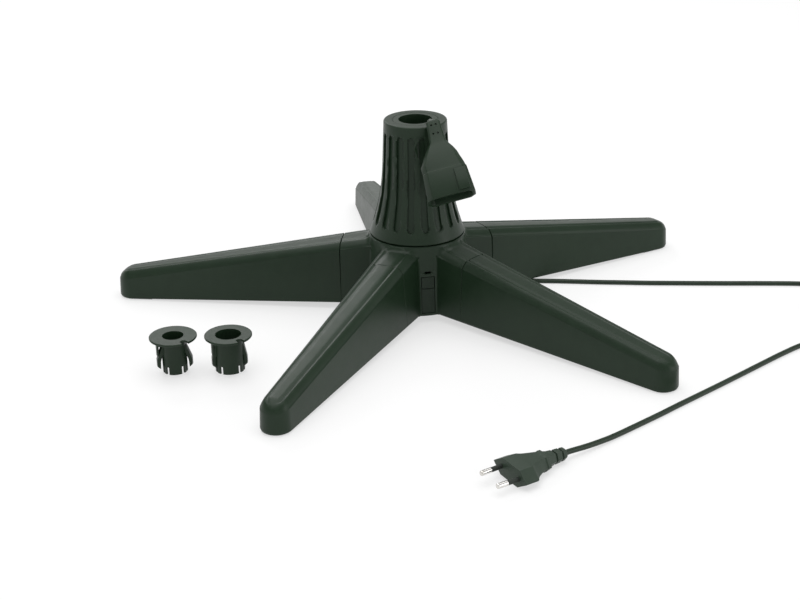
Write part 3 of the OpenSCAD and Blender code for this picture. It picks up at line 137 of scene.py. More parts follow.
class Graph:
    """The node tree of one material, with its surface shader in place."""

    def __init__(self, name: str) -> None:
        """Makes an empty material with a Principled shader.

        Args:
            name: Name of the material.
        """
        self.material = bpy.data.materials.new(name)
        self.material.use_nodes = True
        self.tree = self.material.node_tree
        self.tree.nodes.clear()
        output = self.tree.nodes.new("ShaderNodeOutputMaterial")
        self.shader = self.tree.nodes.new("ShaderNodeBsdfPrincipled")
        self.tree.links.new(self.shader.outputs[0], output.inputs["Surface"])

    def node(self, kind: str, settings: dict | None = None,
             values: dict | None = None, result: int | str = 0) -> Signal:
        """Adds a node.

        Args:
            kind: Type of the node.
            settings: Its own properties.
            values: Numbers, vectors or signals for its input sockets.
            result: Which output to return.

        Returns:
            The output as a signal.
        """
        made = self.tree.nodes.new(kind)
        for key, value in (settings or {}).items():
            setattr(made, key, value)
        for key, value in (values or {}).items():
            self._feed(made.inputs[key], value)
        return Signal(self, made.outputs[result])

    def _feed(self, socket: bpy.types.NodeSocket, value: "Signal | float | Sequence[float]") -> None:
        """Links a signal to a socket, or sets its number.

        Args:
            socket: Input socket.
            value: Signal, number or vector for it.
        """
        if isinstance(value, Signal):
            self.tree.links.new(value.socket, socket)
        else:
            socket.default_value = value

    def surface(self, **values: "Signal | float | Sequence[float]") -> None:
        """Sets the shader's sockets, named with spaces as underscores.

        Args:
            values: Signal or value for each socket.
        """
        for key, value in values.items():
            self._feed(self.shader.inputs[key.replace("_", " ")], value)

    def overlay(self, share: Signal, colour: Sequence[float]) -> None:
        """Mixes plain light of one colour into the surface.

        Args:
            share: From 0 to 1.
            colour: Colour of the light.
        """
        output = next(n for n in self.tree.nodes if n.bl_idname == "ShaderNodeOutputMaterial")
        light = self.node("ShaderNodeEmission", {}, {"Color": (*colour, 1.0), "Strength": 1.0})
        mix = self.node("ShaderNodeMixShader", {}, {0: share})
        self.tree.links.new(self.shader.outputs[0], mix.socket.node.inputs[1])
        self.tree.links.new(light.socket, mix.socket.node.inputs[2])
        self.tree.links.new(mix.socket, output.inputs["Surface"])

    def place(self) -> Signal:
        """Place on the piece, in metres."""
        return self.node("ShaderNodeTexCoord", result="Object")

    def noise(self, where: Signal, size: float, detail: float, rough: float = 0.5) -> Signal:
        """Soft noise.

        Args:
            where: Coordinates in metres.
            size: Size of its blots in metres.
            detail: Number of finer layers.
            rough: Strength of the finer layers.

        Returns:
            Its value, mostly from 0.3 to 0.7.
        """
        return self.node("ShaderNodeTexNoise", {}, {"Vector": where, "Scale": 1 / size,
                                                    "Detail": detail, "Roughness": rough})

    def cells(self, where: Signal, size: float) -> Signal:
        """Distance to the nearest point of a random grid of that size."""
        return self.node("ShaderNodeTexVoronoi", {"feature": "F1"},
                         {"Vector": where, "Scale": 1 / size})

    def blend(self, share: Signal, low: Sequence[float], high: Sequence[float]) -> Signal:
        """Colour between two others.

        Args:
            share: From 0 to 1.
            low: Colour at 0.
            high: Colour at 1.

        Returns:
            The mixed colour.
        """
        mixed = self.tree.nodes.new("ShaderNodeMix")
        mixed.data_type = "RGBA"
        sockets = [s for s in mixed.inputs if s.enabled]
        self._feed(sockets[0], share)
        sockets[1].default_value = (*low, 1.0)
        sockets[2].default_value = (*high, 1.0)
        return Signal(self, next(s for s in mixed.outputs if s.enabled))

    def bump(self, height: Signal, depth: float) -> Signal:
        """Normal of a relief.

        Args:
            height: Height from 0 to 1.
            depth: Depth of the relief in metres.

        Returns:
            The bent normal.
        """
        return self.node("ShaderNodeBump", {}, {"Height": height, "Distance": depth})


@dataclass(frozen=True)
class MouldedPlastic:
    """Moulded plastic with a spark-eroded skin, flow marks and light handling wear."""

    name: str
    low: Point
    high: Point
    roughness: float = 0.38
    grain: float = 0.00035
    grain_depth: float = 0.00002
    specular: float = 0.24

    def build(self) -> bpy.types.Material:
        """Makes the material.

        Returns:
            The material.
        """
        g = Graph(self.name)
        at = g.place()
        clouds = g.noise(at, 0.045, 4.0)
        flow = g.noise(at, 0.009, 5.0, 0.6)
        grain = g.noise(at, self.grain, 2.0, 0.7)
        pits = g.cells(at, self.grain * 2.2)
        scuffs = g.noise(at, 0.0028, 6.0, 0.75).above(0.60, 0.74)
        tone = clouds.above(0.3, 0.7) * 0.6 + flow.above(0.35, 0.65) * 0.4
        g.surface(Base_Color=g.blend(tone, self.low, self.high),
                  Roughness=self.roughness + (flow - 0.5) * 0.16 + scuffs * 0.10,
                  Normal=g.bump(grain * 0.7 + pits * 0.5, self.grain_depth))
        g.shader.inputs["Specular IOR Level"].default_value = self.specular
        return g.material


@dataclass(frozen=True)
class FlexiblePlastic:
    """Soft cord or plug plastic: smoother, with a silky sheen and faint draw lines."""

    name: str
    low: Point
    high: Point
    roughness: float = 0.36
    specular: float = 0.3

    def build(self) -> bpy.types.Material:
        """Makes the material.

        Returns:
            The material.
        """
        g = Graph(self.name)
        at = g.place()
        clouds = g.noise(at, 0.018, 4.0)
        fine = g.noise(at, 0.0006, 3.0, 0.65)
        dust = g.noise(at, 0.0035, 6.0, 0.7).above(0.58, 0.75)
        g.surface(Base_Color=g.blend(clouds.above(0.3, 0.7), self.low, self.high),
                  Roughness=self.roughness + (fine - 0.5) * 0.12 + dust * 0.12,
                  Normal=g.bump(fine, 0.000015))
        g.shader.inputs["Specular IOR Level"].default_value = self.specular
        return g.material


@dataclass(frozen=True)
class WorkedMetal:
    """Ground or plated metal with fine scratches and slight tarnish."""

    name: str
    low: Point
    high: Point
    roughness: float = 0.28

    def build(self) -> bpy.types.Material:
        """Makes the material.

        Returns:
            The material.
        """
        g = Graph(self.name)
        at = g.place()
        stretched = g.node("ShaderNodeMapping", {}, {"Vector": at, "Scale": (9.0, 9.0, 0.6)})
        lines = g.noise(stretched, 0.0016, 5.0, 0.7)
        stain = g.noise(at, 0.006, 5.0, 0.6).above(0.42, 0.7)
        g.surface(Base_Color=g.blend(stain, self.high, self.low),
                  Roughness=self.roughness + (lines - 0.5) * 0.25 + stain * 0.12,
                  Normal=g.bump(lines, 0.000012))
        g.shader.inputs["Metallic"].default_value = 1.0
        return g.material


@dataclass(frozen=True)
class SoftRubber:
    """Matt rubber with a dusty bloom."""

    name: str
    low: Point
    high: Point

    def build(self) -> bpy.types.Material:
        """Makes the material.

        Returns:
            The material.
        """
        g = Graph(self.name)
        at = g.place()
        bloom = g.noise(at, 0.004, 6.0, 0.65)
        fine = g.noise(at, 0.0005, 3.0)
        g.surface(Base_Color=g.blend(bloom.above(0.35, 0.7), self.low, self.high),
                  Roughness=0.72 + (fine - 0.5) * 0.2, Normal=g.bump(fine, 0.00003))
        return g.material


class Finish(Enum):
    """Finishes of the stand's parts, by the record's material slots."""

    green_plastic = MouldedPlastic("satin_green_plastic", (0.0085, 0.0205, 0.0095),
                                   (0.0120, 0.0265, 0.0130))
    inner_plastic = MouldedPlastic("inner_dark_plastic", (0.0070, 0.0165, 0.0080),
                                   (0.0095, 0.0210, 0.0105), roughness=0.46)
    natural_plastic = MouldedPlastic("natural_nylon", (0.60, 0.59, 0.54), (0.68, 0.67, 0.62),
                                     roughness=0.46, grain=0.0006, specular=0.5)
    steel = WorkedMetal("zinc_plated_steel", (0.42, 0.42, 0.41), (0.60, 0.61, 0.63))
    pin_metal = WorkedMetal("nickel_plated_pin", (0.62, 0.60, 0.56), (0.80, 0.79, 0.77), 0.16)
    copper = WorkedMetal("copper_alloy", (0.46, 0.26, 0.12), (0.68, 0.42, 0.21), 0.30)
    rubber = SoftRubber("dark_rubber", (0.010, 0.015, 0.011), (0.020, 0.027, 0.021))
    cord_sheath = FlexiblePlastic("green_cord_sheath", (0.0110, 0.0225, 0.0115),
                                  (0.0150, 0.0290, 0.0160))
    plug_plastic = FlexiblePlastic("green_plug_plastic", (0.0220, 0.0370, 0.0240),
                                   (0.0280, 0.0450, 0.0300), 0.46)


class Wardrobe:
    """Makes each finish once and hands it out."""

    def __init__(self) -> None:
        """Starts with nothing made."""
        self._made: dict[Finish, bpy.types.Material] = {}

    def dress(self, piece: bpy.types.Object, finish: Finish) -> None:
        """Gives a piece one finish all over.

        Args:
            piece: Piece or carried-over node.
            finish: What it is made of.
        """
        if finish not in self._made:
            self._made[finish] = finish.value.build()
        piece.data.materials.clear()
        piece.data.materials.append(self._made[finish])


# ---- Modelling helpers ----


def rest_mode() -> None:
    """Goes back to object mode with nothing selected."""
    if bpy.context.object and bpy.context.object.mode != "OBJECT":
        bpy.ops.object.mode_set(mode="OBJECT")
    bpy.ops.object.select_all(action="DESELECT")


def take(piece: bpy.types.Object) -> None:
    """Makes one piece the only selected and active one.

    Args:
        piece: The piece.
    """
    rest_mode()
    piece.select_set(True)
    bpy.context.view_layer.objects.active = piece


def smooth(piece: bpy.types.Object, degrees: float = 32.0) -> None:
    """Shades a piece smooth up to an edge angle.

    Args:
        piece: The piece.
        degrees: Sharpest angle that is still shaded smooth.
    """
    take(piece)
    bpy.ops.object.shade_smooth_by_angle(angle=math.radians(degrees))
    rest_mode()


def round_edges(piece: bpy.types.Object, width: float, degrees: float = 30.0,
                segments: int = 2) -> None:
    """Rounds every edge sharper than an angle.

    Args:
        piece: The piece.
        width: Width of the rounding in metres.
        degrees: Least angle of an edge that is rounded.
        segments: Faces across the rounding.
    """
    take(piece)
    rounding = piece.modifiers.new("rounding", "BEVEL")
    rounding.width = width
    rounding.segments = segments
    rounding.limit_method = "ANGLE"
    rounding.angle_limit = math.radians(degrees)
    bpy.ops.object.modifier_apply(modifier=rounding.name)
    rest_mode()


def pick(piece: bpy.types.Object, kind: str, test: Callable) -> int:
    """Goes to edit mode with only the wanted vertices, edges or faces selected.

    Args:
        piece: The piece.
        kind: "VERT", "EDGE" or "FACE".
        test: Tells whether one of them is wanted.

    Returns:
        How many are selected.
    """
    take(piece)
    bpy.ops.object.mode_set(mode="EDIT")
    bpy.ops.mesh.select_mode(type=kind)
    bpy.ops.mesh.select_all(action="DESELECT")
    bpy.ops.object.mode_set(mode="OBJECT")
    mesh = piece.data
    found = 0
    for item in {"VERT": mesh.vertices, "EDGE": mesh.edges, "FACE": mesh.polygons}[kind]:
        item.select = bool(test(item))
        found += item.select
    bpy.ops.object.mode_set(mode="EDIT")
    return found


def chamfered_box(name: str, half: tuple[float, float], z0: float, z1: float,
                  chamfer: float) -> bpy.types.Object:
    """Upright box with chamfered upright edges.

    Args:
        name: Name of the piece.
        half: Half width and half thickness, in millimetres.
        z0: Lower end, in millimetres.
        z1: Upper end, in millimetres.
        chamfer: Size of the chamfers, in millimetres.

    Returns:
        The box.
    """
    rest_mode()
    bpy.ops.mesh.primitive_cube_add(size=1)
    box = bpy.context.object
    box.name = box.data.name = name
    bpy.ops.object.mode_set(mode="EDIT")
    bpy.ops.transform.resize(value=(2 * half[0] * MM, 2 * half[1] * MM, (z1 - z0) * MM),
                             center_override=(0, 0, 0))
    bpy.ops.transform.translate(value=(0, 0, (z0 + z1) / 2 * MM))
    bpy.ops.object.mode_set(mode="OBJECT")
    verts = box.data.vertices
    pick(box, "EDGE", lambda e: abs(verts[e.vertices[0]].co.z - verts[e.vertices[1]].co.z)
         > LEVEL)
    bpy.ops.mesh.bevel(offset=chamfer * MM, segments=1, affect="EDGES")
    bpy.ops.object.mode_set(mode="OBJECT")
    return box


def grow(piece: bpy.types.Object, stations: Sequence[tuple[float, ...]],
         start: tuple[float, ...]) -> None:
    """Extrudes the lower end of a piece through stations.

    Args:
        piece: The piece, upright.
        stations: Height, half width, half thickness and sideways offset of each, in
            millimetres.
        start: The same for the end face.
    """
    verts = piece.data.vertices
    end = min(v.co.z for v in verts)
    pick(piece, "FACE", lambda f: all(abs(verts[i].co.z - end) < LEVEL for i in f.vertices))
    z, w, t, x = start
    for z1, w1, t1, x1 in stations:
        bpy.ops.mesh.extrude_region_move(
            TRANSFORM_OT_translate={"value": ((x1 - x) * MM, 0, (z1 - z) * MM)})
        bpy.ops.transform.resize(value=(w1 / w, t1 / t, 1), center_override=(x1 * MM, 0, z1 * MM))
        z, w, t, x = z1, w1, t1, x1
    bpy.ops.object.mode_set(mode="OBJECT")


def settle(piece: bpy.types.Object, placement: Matrix) -> None:
    """Moves a piece's shape to its place and leaves the object itself at the origin.

    Args:
        piece: The piece, modelled in its own frame.
        placement: That frame in the model's, in metres.
    """
    take(piece)
    piece.matrix_world = placement
    bpy.ops.object.transform_apply(location=True, rotation=True, scale=True)
    rest_mode()


def frame_at(at: Sequence[float], *turns: tuple[str, float]) -> Matrix:
    """Frame at a point, turned about its own axes one after another.

    Args:
        at: Point in millimetres.
        turns: Axis and degrees of each turn.

    Returns:
        The frame.
    """
    placed = Matrix.Translation(Vector(at) * MM)
    for axis, degrees in turns:
        placed = placed @ Matrix.Rotation(math.radians(degrees), 4, axis)
    return placed


def hand_over(piece: bpy.types.Object, body: Body, slot: str, *nodes: str) -> bpy.types.Object:
    """Lets a piece ride on its body and stand for its nodes.

    Args:
        piece: Finished piece.
        body: What it moves with.
        slot: The record's material slot; not used.
        nodes: Nodes that it replaces.

    Returns:
        The piece.
    """
    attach(piece, body.value)
    if nodes:
        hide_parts(*nodes)
    LOG.info("%s rides on %s, %d faces", piece.name, body.value,
             len(piece.data.polygons) if piece.type == "MESH" else 0)
    return piece


def flow_line(points: Sequence[Vector], steps: int) -> list[Vector]:
    """Smooth line through points, by the same formula as the frame's cord.

    Args:
        points: Points that the line passes.
        steps: Parts of each stretch between two points.

    Returns:
        The line's points.
    """
    line: list[Vector] = []
    last = len(points) - 2
    for i in range(last + 1):
        b, c = points[i], points[i + 1]
        a, d = points[max(0, i - 1)], points[min(len(points) - 1, i + 2)]
        u = (c - b) if i == 0 else (c - a) / 2
        v = (c - b) if i == last else (d - b) / 2
        for k in range(steps + (1 if i == last else 0)):
            t = k / steps
            line.append(b * (2 * t**3 - 3 * t**2 + 1) + u * (t**3 - 2 * t**2 + t)
                        + c * (3 * t**2 - 2 * t**3) + v * (t**3 - t**2))
    return line


# ---- Cord ----


@dataclass
class MainsCord:
    """Mains cord from the gland under the fifth leg, over a coil of spare cord, to the plug.

    The diameter is in metres, and the route's points and the coil are in millimetres.
    """

    diameter: float = 4.2 * MM
    coil_at: tuple[float, float] = (356.0, -110.0)
    coil_r: float = 33.0
    coil_pitch: float = 4.8
    coil_angle: float = 360 * 7 + 74.4
    coil_steps: int = 48
    coil_lead: float = 5.0
    line_steps: int = 8
    gland: Point = (61.070, 19.843, 14.4)
    plug_tail: Point = (43.042, -300.467, 5.710)
    plug_way: Point = (-0.903221, -0.426956, 0.043619)
    back: list[Point] = field(default_factory=lambda: [
        (78, 23.6, 11.2), (89, 23.6, 6.8), (99, 21.4, 3.6), (110, 18.2, 2.1), (132, 11.7, 2.1),
        (166, 0.9, 2.1), (187, -5.3, 2.1), (208, -11.5, 2.1), (230, -17.3, 2.1),
        (249, -22.3, 2.1), (275, -29, 2.1), (305, -36.5, 2.1), (336, -45, 2.1),
        (358, -54, 2.1), (376, -69, 2.1), (386, -87, 2.1)])
    front: list[Point] = field(default_factory=lambda: [
        (336, -150, 4.4), (320, -153.6, 2.8), (302, -158, 2.1), (282, -165.4, 2.1),
        (262, -176, 2.1), (240, -189, 2.1), (215, -204, 2.1), (190, -218.8, 2.1),
        (169, -231, 2.1), (151.4, -241.2, 2.1), (131.3, -253.2, 2.1), (111.8, -264.3, 2.1),
        (88.3, -277.8, 2.4), (74.8, -285.2, 3.2), (62, -291.8, 4.3)])

    def coil_point(self, angle: float) -> Vector:
        """Point of the coil: inwards on the floor, up over half a turn, and outwards again.

        Args:
            angle: Degrees wound so far.

        Returns:
            The point, in millimetres.
        """
        middle = self.coil_angle / 2
        r = self.coil_r - self.coil_pitch * min(angle, self.coil_angle - angle) / 360
        up = max(0.0, min(1.0, (angle - middle + 90) / 180))
        ease = up * up * (3 - 2 * up)
        turn = math.radians(-angle)
        return Vector((self.coil_at[0] + r * math.cos(turn), self.coil_at[1] + r * math.sin(turn),
                       self.diameter / MM / 2 + self.coil_pitch * ease))

    def route(self) -> list[Vector]:
        """Lays out the whole cord's centre line.

        Returns:
            Its points, in millimetres.
        """
        low = self.diameter / MM / 2
        g = Vector(self.gland)
        start = Vector((self.coil_at[0] + self.coil_r, self.coil_at[1] + self.coil_lead, low))
        back = [g, g + Vector((5, 1.6, -0.2))] + [Vector(p) for p in self.back]
        back += [start + Vector((0, 5, 0)), start]
        parts = round(self.coil_steps * self.coil_angle / 360)
        coil = [self.coil_point(self.coil_angle * i / parts) for i in range(parts + 1)]
        wound = math.radians(self.coil_angle)
        way = Vector((-math.sin(wound), -math.cos(wound), 0))
        end = coil[-1] + self.coil_lead * way
        tail, heading = Vector(self.plug_tail), Vector(self.plug_way)
        front = [end, end + 6 * way + Vector((0, 0, -0.6))] + [Vector(p) for p in self.front]
        front += [tail - 5 * heading + Vector((0.2, 0.3, 0)), tail, tail + 6 * heading]
        return flow_line(back, self.line_steps) + coil + flow_line(front, self.line_steps)

    def build(self, wardrobe: Wardrobe, on_it: Sequence[bpy.types.Object]) -> bpy.types.Object:
        """Args:
            wardrobe: Source of finishes.
            on_it: Pieces on its far end; not used.

        Returns:
            The cord's curve.
        """
        line = [p * MM for p in self.route()]
        curve = bpy.data.curves.new("mains_cord", "CURVE")
        curve.dimensions = "3D"
        curve.bevel_depth = self.diameter / 2
        curve.bevel_resolution = 5
        curve.use_fill_caps = True
        spline = curve.splines.new("POLY")
        spline.points.add(len(line) - 1)
        for point, at in zip(spline.points, line):
            point.co = (*at, 1.0)
        spline.use_smooth = True
        cord = bpy.data.objects.new("mains_cord", curve)
        bpy.context.scene.collection.objects.link(cord)
        wardrobe.dress(cord, Finish.cord_sheath)
        length = sum((b - a).length for a, b in zip(line, line[1:]))
        LOG.info("mains_cord is %.3f m long", length)
        hand_over(cord, Body.BASE, "cord_sheath", "cord_back_run", "cord_coil", "cord_front_run")
        return cord


# ---- Skins of the moulded parts ----


@dataclass
class Skin:
    """Smooth skin of one moulded part: its node's mesh, joined up, rounded and shaded.

    Lengths are in millimetres and angles in degrees.
    """

    node: str
    body: Body
    finish: Finish = Finish.green_plastic
    degrees: float = 32.0
    flat: float = 0.4
    merge: float = 0.002
    rounding: float = 0.0
    rounded_from: float = 38.0
    seams: tuple[float, ...] = ()
    drawn_back: bool = False
    seam_r: float = 65.0
    seam_slack: float = 0.02
    seam_cut: float = 0.3
    seam_gap: float = 0.6
    seam_lift: float = 12.0

    def build(self, wardrobe: Wardrobe) -> bpy.types.Object:
        """Makes the skin in place of its node.

        Args:
            wardrobe: Source of finishes.

        Returns:
            The skin.
        """
        source = frame["nodes"][self.node]
        skin = source.copy()
        skin.data = source.data.copy()
        skin.parent = None
        for key in list(skin.keys()):
            del skin[key]
        skin.name = self.node + "_skin"
        bpy.context.scene.collection.objects.link(skin)
        take(skin)
        bpy.ops.object.mode_set(mode="EDIT")
        bpy.ops.mesh.select_all(action="SELECT")
        bpy.ops.mesh.remove_doubles(threshold=self.merge * MM)
        bpy.ops.mesh.dissolve_limited(angle_limit=math.radians(self.flat))
        bpy.ops.object.mode_set(mode="OBJECT")
        for azimuth in self.seams:
            self.cut_seam(skin, math.radians(azimuth))
        self.shape(skin)
        if self.rounding:
            round_edges(skin, self.rounding * MM, self.rounded_from)
        smooth(skin, self.degrees)
        take(skin)
        even = skin.modifiers.new("even_shading", "WEIGHTED_NORMAL")
        even.keep_sharp = True
        bpy.ops.object.modifier_apply(modifier=even.name)
        rest_mode()
        wardrobe.dress(skin, self.finish)
        return hand_over(skin, self.body, self.finish.name, self.node)

    def shape(self, skin: bpy.types.Object) -> None:
        """Changes the joined-up mesh; a plain skin keeps it.

        Args:
            skin: The skin.
        """

    def cut_seam(self, skin: bpy.types.Object, azimuth: float) -> None:
        """Bevels the edges in a leg's seam plane, and draws a leg back there, so that a slit shows.

        The slit closes towards the foot, where the floor would show through it.

        Args:
            skin: The skin.
            azimuth: The leg's direction in radians.
        """
        away = Vector((math.cos(azimuth), math.sin(azimuth), 0))
        mesh = skin.data
        in_plane = {vertex.index for vertex in mesh.vertices
                    if abs(vertex.co.dot(away) / MM - self.seam_r) < self.seam_slack}
        seam = {edge.index for edge in mesh.edges if in_plane.issuperset(edge.vertices)}
        if self.drawn_back:
            high = {i for index in seam for i in mesh.edges[index].vertices
                    if mesh.vertices[i].co.z > self.seam_lift * MM}
            pick(skin, "VERT", lambda vertex: vertex.index in high)
            bpy.ops.transform.translate(value=away * self.seam_gap * MM)
        if pick(skin, "EDGE", lambda edge: edge.index in seam):
            bpy.ops.mesh.bevel(offset=self.seam_cut * MM, segments=1, affect="EDGES")
        bpy.ops.object.mode_set(mode="OBJECT")
        LOG.info("%s has %d seam edges", self.node, len(seam))


@dataclass
class FlutedCone(Skin):
    """Skin of the rotor's cone, with its flutes drawn in to their full depth.

    The draw is the share of a floor's radius that is left.
    """

    node: str = "rotor_cone"
    body: Body = Body.ROTOR
    degrees: float = 24.0
    top: tuple[float, float] = (26.6, 167.0)
    taper: float = 0.05
    foot: tuple[float, float] = (9.18, 68.6)
    flare_h: float = 56.4
    floor_at: tuple[float, float] = (0.85, 1.5)
    span: tuple[float, float] = (76.0, 159.0)
    draw: float = 0.976

    def wall_r(self, z: float) -> float:
        """Radius of the cone's wall at a height.

        Args:
            z: Height in millimetres.

        Returns:
            The radius in millimetres.
        """
        flare, low = self.foot
        bend = max(0.0, (low + self.flare_h - z) / self.flare_h)
        return self.top[0] + self.taper * (self.top[1] - z) + flare * bend**2

    def shape(self, skin: bpy.types.Object) -> None:
        """Draws the floors of the flutes towards the axis.

        Args:
            skin: The skin.
        """
        def on_floor(vertex: bpy.types.MeshVertex) -> bool:
            """Tells whether a vertex bounds the floor of a flute.

            Args:
                vertex: A vertex of the skin.

            Returns:
                True where it lies as deep below the wall as a floor does.
            """
            x, y, z = vertex.co / MM
            sunk = self.wall_r(z) - math.hypot(x, y)
            return (self.span[0] < z < self.span[1]
                    and self.floor_at[0] < sunk < self.floor_at[1])

        found = pick(skin, "VERT", on_floor)
        if found:
            bpy.ops.transform.resize(value=(self.draw, self.draw, 1), center_override=(0, 0, 0))
        bpy.ops.object.mode_set(mode="OBJECT")
        LOG.info("%s has %d flute vertices", self.node, found)


@dataclass
class Coupling:
    """Flat two-pole coupling: boxy body with an open mouth, shoulders and strain relief.

    Lengths are in millimetres, along the coupling from its pivot.
    """

    pivot: Point = (8.6, -25.3, 170.6)
    turns: tuple[tuple[str, float], ...] = (("Z", -82.7), ("Y", 136.3), ("Z", 109.5))
    mouth: tuple[float, float] = (19.8, 9.2)
    waist: tuple[float, float] = (18.3, 8.8)
    length: float = 69.0
    waist_at: float = 47.5
    chamfer: float = 4.4
    wall: float = 2.9
    depth: float = 16.8
    rounding: float = 0.55
    grip: tuple[float, float] = (4.7, 0.5)
    grip_span: tuple[float, float] = (48.5, 67.6)
    grip_at: Point = (11.9, 8.72, 0.0)
    grip_lean: float = -0.9
    grip_chamfer: float = 0.3
    grip_rounding: float = 0.2
    hole_r: float = 0.85
    drill: float = 20.0
    holes: tuple[tuple[float, float], ...] = ((2.8, 3.4), (-1.0, 3.4), (2.7, 11.4), (-1.1, 11.4))
    relief: tuple[tuple[float, float, float, float], ...] = (
        (45.6, 18.2, 8.75, -0.1), (45.2, 17.7, 8.35, -0.1), (43, 17.7, 8.3, -0.5),
        (39, 17.2, 8.1, -1.1), (35.6, 15.7, 7.8, -0.7), (31.5, 14.1, 7.3, -0.1),
        (27.5, 12.1, 6.3, 0.2), (23.8, 9.9, 5.2, 0.3), (21, 8.1, 4.2, 0.5), (18.6, 7.0, 3.4, 0.7),
        (12, 6.5, 2.9, 0.8), (5, 6.1, 2.6, 0.9), (0.5, 5.8, 2.4, 1.0), (-1.2, 4.6, 1.9, 1.0))

    def placement(self) -> Matrix:
        """Frame of the coupling: Z towards the mouth, X across, Y outwards."""
        return frame_at(self.pivot, *self.turns)

    def build(self, wardrobe: Wardrobe) -> None:
        """Models the housing and its grip.

        Args:
            wardrobe: Source of finishes.
        """
        low = self.waist_at
        shell = chamfered_box("coupling_shell", self.mouth, low, self.length, self.chamfer)
        pick(shell, "VERT", lambda v: v.co.z < (low + 1) * MM)
        bpy.ops.transform.resize(value=(self.waist[0] / self.mouth[0],
                                        self.waist[1] / self.mouth[1], 1),
                                 center_override=(0, 0, low * MM))
        bpy.ops.object.mode_set(mode="OBJECT")
        grow(shell, self.relief, (low, *self.waist, 0.0))
        pick(shell, "FACE", lambda f: f.normal.z > 0.9)
        bpy.ops.mesh.inset(thickness=self.wall * MM)
        bpy.ops.mesh.extrude_region_move(
            TRANSFORM_OT_translate={"value": (0, 0, -self.depth * MM)})
        bpy.ops.object.mode_set(mode="OBJECT")
        round_edges(shell, self.rounding * MM, degrees=24.0)
        self.pierce(shell)
        smooth(shell, degrees=34.0)
        grip = chamfered_box("coupling_grip", self.grip, *self.grip_span, self.grip_chamfer)
        settle(grip, frame_at(self.grip_at, ("X", self.grip_lean)))
        round_edges(grip, self.grip_rounding * MM)
        smooth(grip)
        for piece in (shell, grip):
            settle(piece, self.placement())
            wardrobe.dress(piece, Finish.green_plastic)
        hand_over(shell, Body.COUPLING, "green_plastic", "coupling_housing")
        hand_over(grip, Body.COUPLING, "green_plastic")

    def pierce(self, shell: bpy.types.Object) -> None:
        """Cuts the two pairs of holes through the relief.

        Args:
            shell: The shell in its own frame.
        """
        for number, (x, z) in enumerate(self.holes):
            rest_mode()
            bpy.ops.mesh.primitive_cylinder_add(
                vertices=20, radius=self.hole_r * MM, depth=self.drill * MM,
                location=(x * MM, 0, z * MM), rotation=(math.pi / 2, 0, 0))
            drill = bpy.context.object
            take(shell)
            cut = shell.modifiers.new(f"hole_{number}", "BOOLEAN")
            cut.operation = "DIFFERENCE"
            cut.solver = "EXACT"
            cut.object = drill
            bpy.ops.object.modifier_apply(modifier=cut.name)
            bpy.data.objects.remove(drill, do_unlink=True)
        rest_mode()


@dataclass
class FlatPlug:
    """Flat two-pin plug: six-sided body, waisted neck, collar and slotted strain relief.

    Lengths are in millimetres. A station of the form is its distance behind the face, and its
    shares of the half width and of the half thickness.
    """

    at: Point = (-2.3, -321.9, 7.9)
    turns: tuple[tuple[str, float], ...] = (("Z", -154.7), ("Y", -2.5), ("Y", 90), ("Z", 83.1))
    half: tuple[float, float] = (17.65, 6.85)
    chamfer: float = 8.5
    squash: float = 0.775
    full: float = 11.2
    rounding: float = 0.6
    form: tuple[tuple[float, float, float], ...] = (
        (12.4, 0.965, 1.0), (13.6, 0.88, 0.995), (15.2, 0.80, 0.985), (17.4, 0.73, 0.975),
        (20, 0.655, 0.96), (23.4, 0.57, 0.935), (27.2, 0.49, 0.90), (28, 0.545, 0.94),
        (30.6, 0.535, 0.93), (31.4, 0.39, 0.84), (34, 0.34, 0.76), (38.7, 0.31, 0.71),
        (38.8, 0.22, 0.54), (40.2, 0.22, 0.54), (40.3, 0.30, 0.69), (44.8, 0.285, 0.67),
        (44.9, 0.21, 0.53), (46.3, 0.21, 0.53), (46.4, 0.275, 0.65), (49.2, 0.26, 0.62),
        (50.2, 0.22, 0.55))

    def build(self, wardrobe: Wardrobe) -> bpy.types.Object:
        """Models the plug's body.

        Args:
            wardrobe: Source of finishes.

        Returns:
            The body.
        """
        half_w, half_t = self.half
        body = chamfered_box("plug_moulding", (half_w, half_t / self.squash), -self.full, 0.0,
                             self.chamfer)
        pick(body, "VERT", lambda v: True)
        bpy.ops.transform.resize(value=(1, self.squash, 1), center_override=(0, 0, 0))
        bpy.ops.object.mode_set(mode="OBJECT")
        grow(body, [(-d, w * half_w, t * half_t, 0.0) for d, w, t in self.form],
             (-self.full, half_w, half_t, 0.0))
        round_edges(body, self.rounding * MM, degrees=22.0, segments=3)
        smooth(body, degrees=35.0)
        settle(body, frame_at(self.at, *self.turns))
        wardrobe.dress(body, Finish.plug_plastic)
        return hand_over(body, Body.BASE, "plug_plastic", "plug_body")


# ---- Studio ----


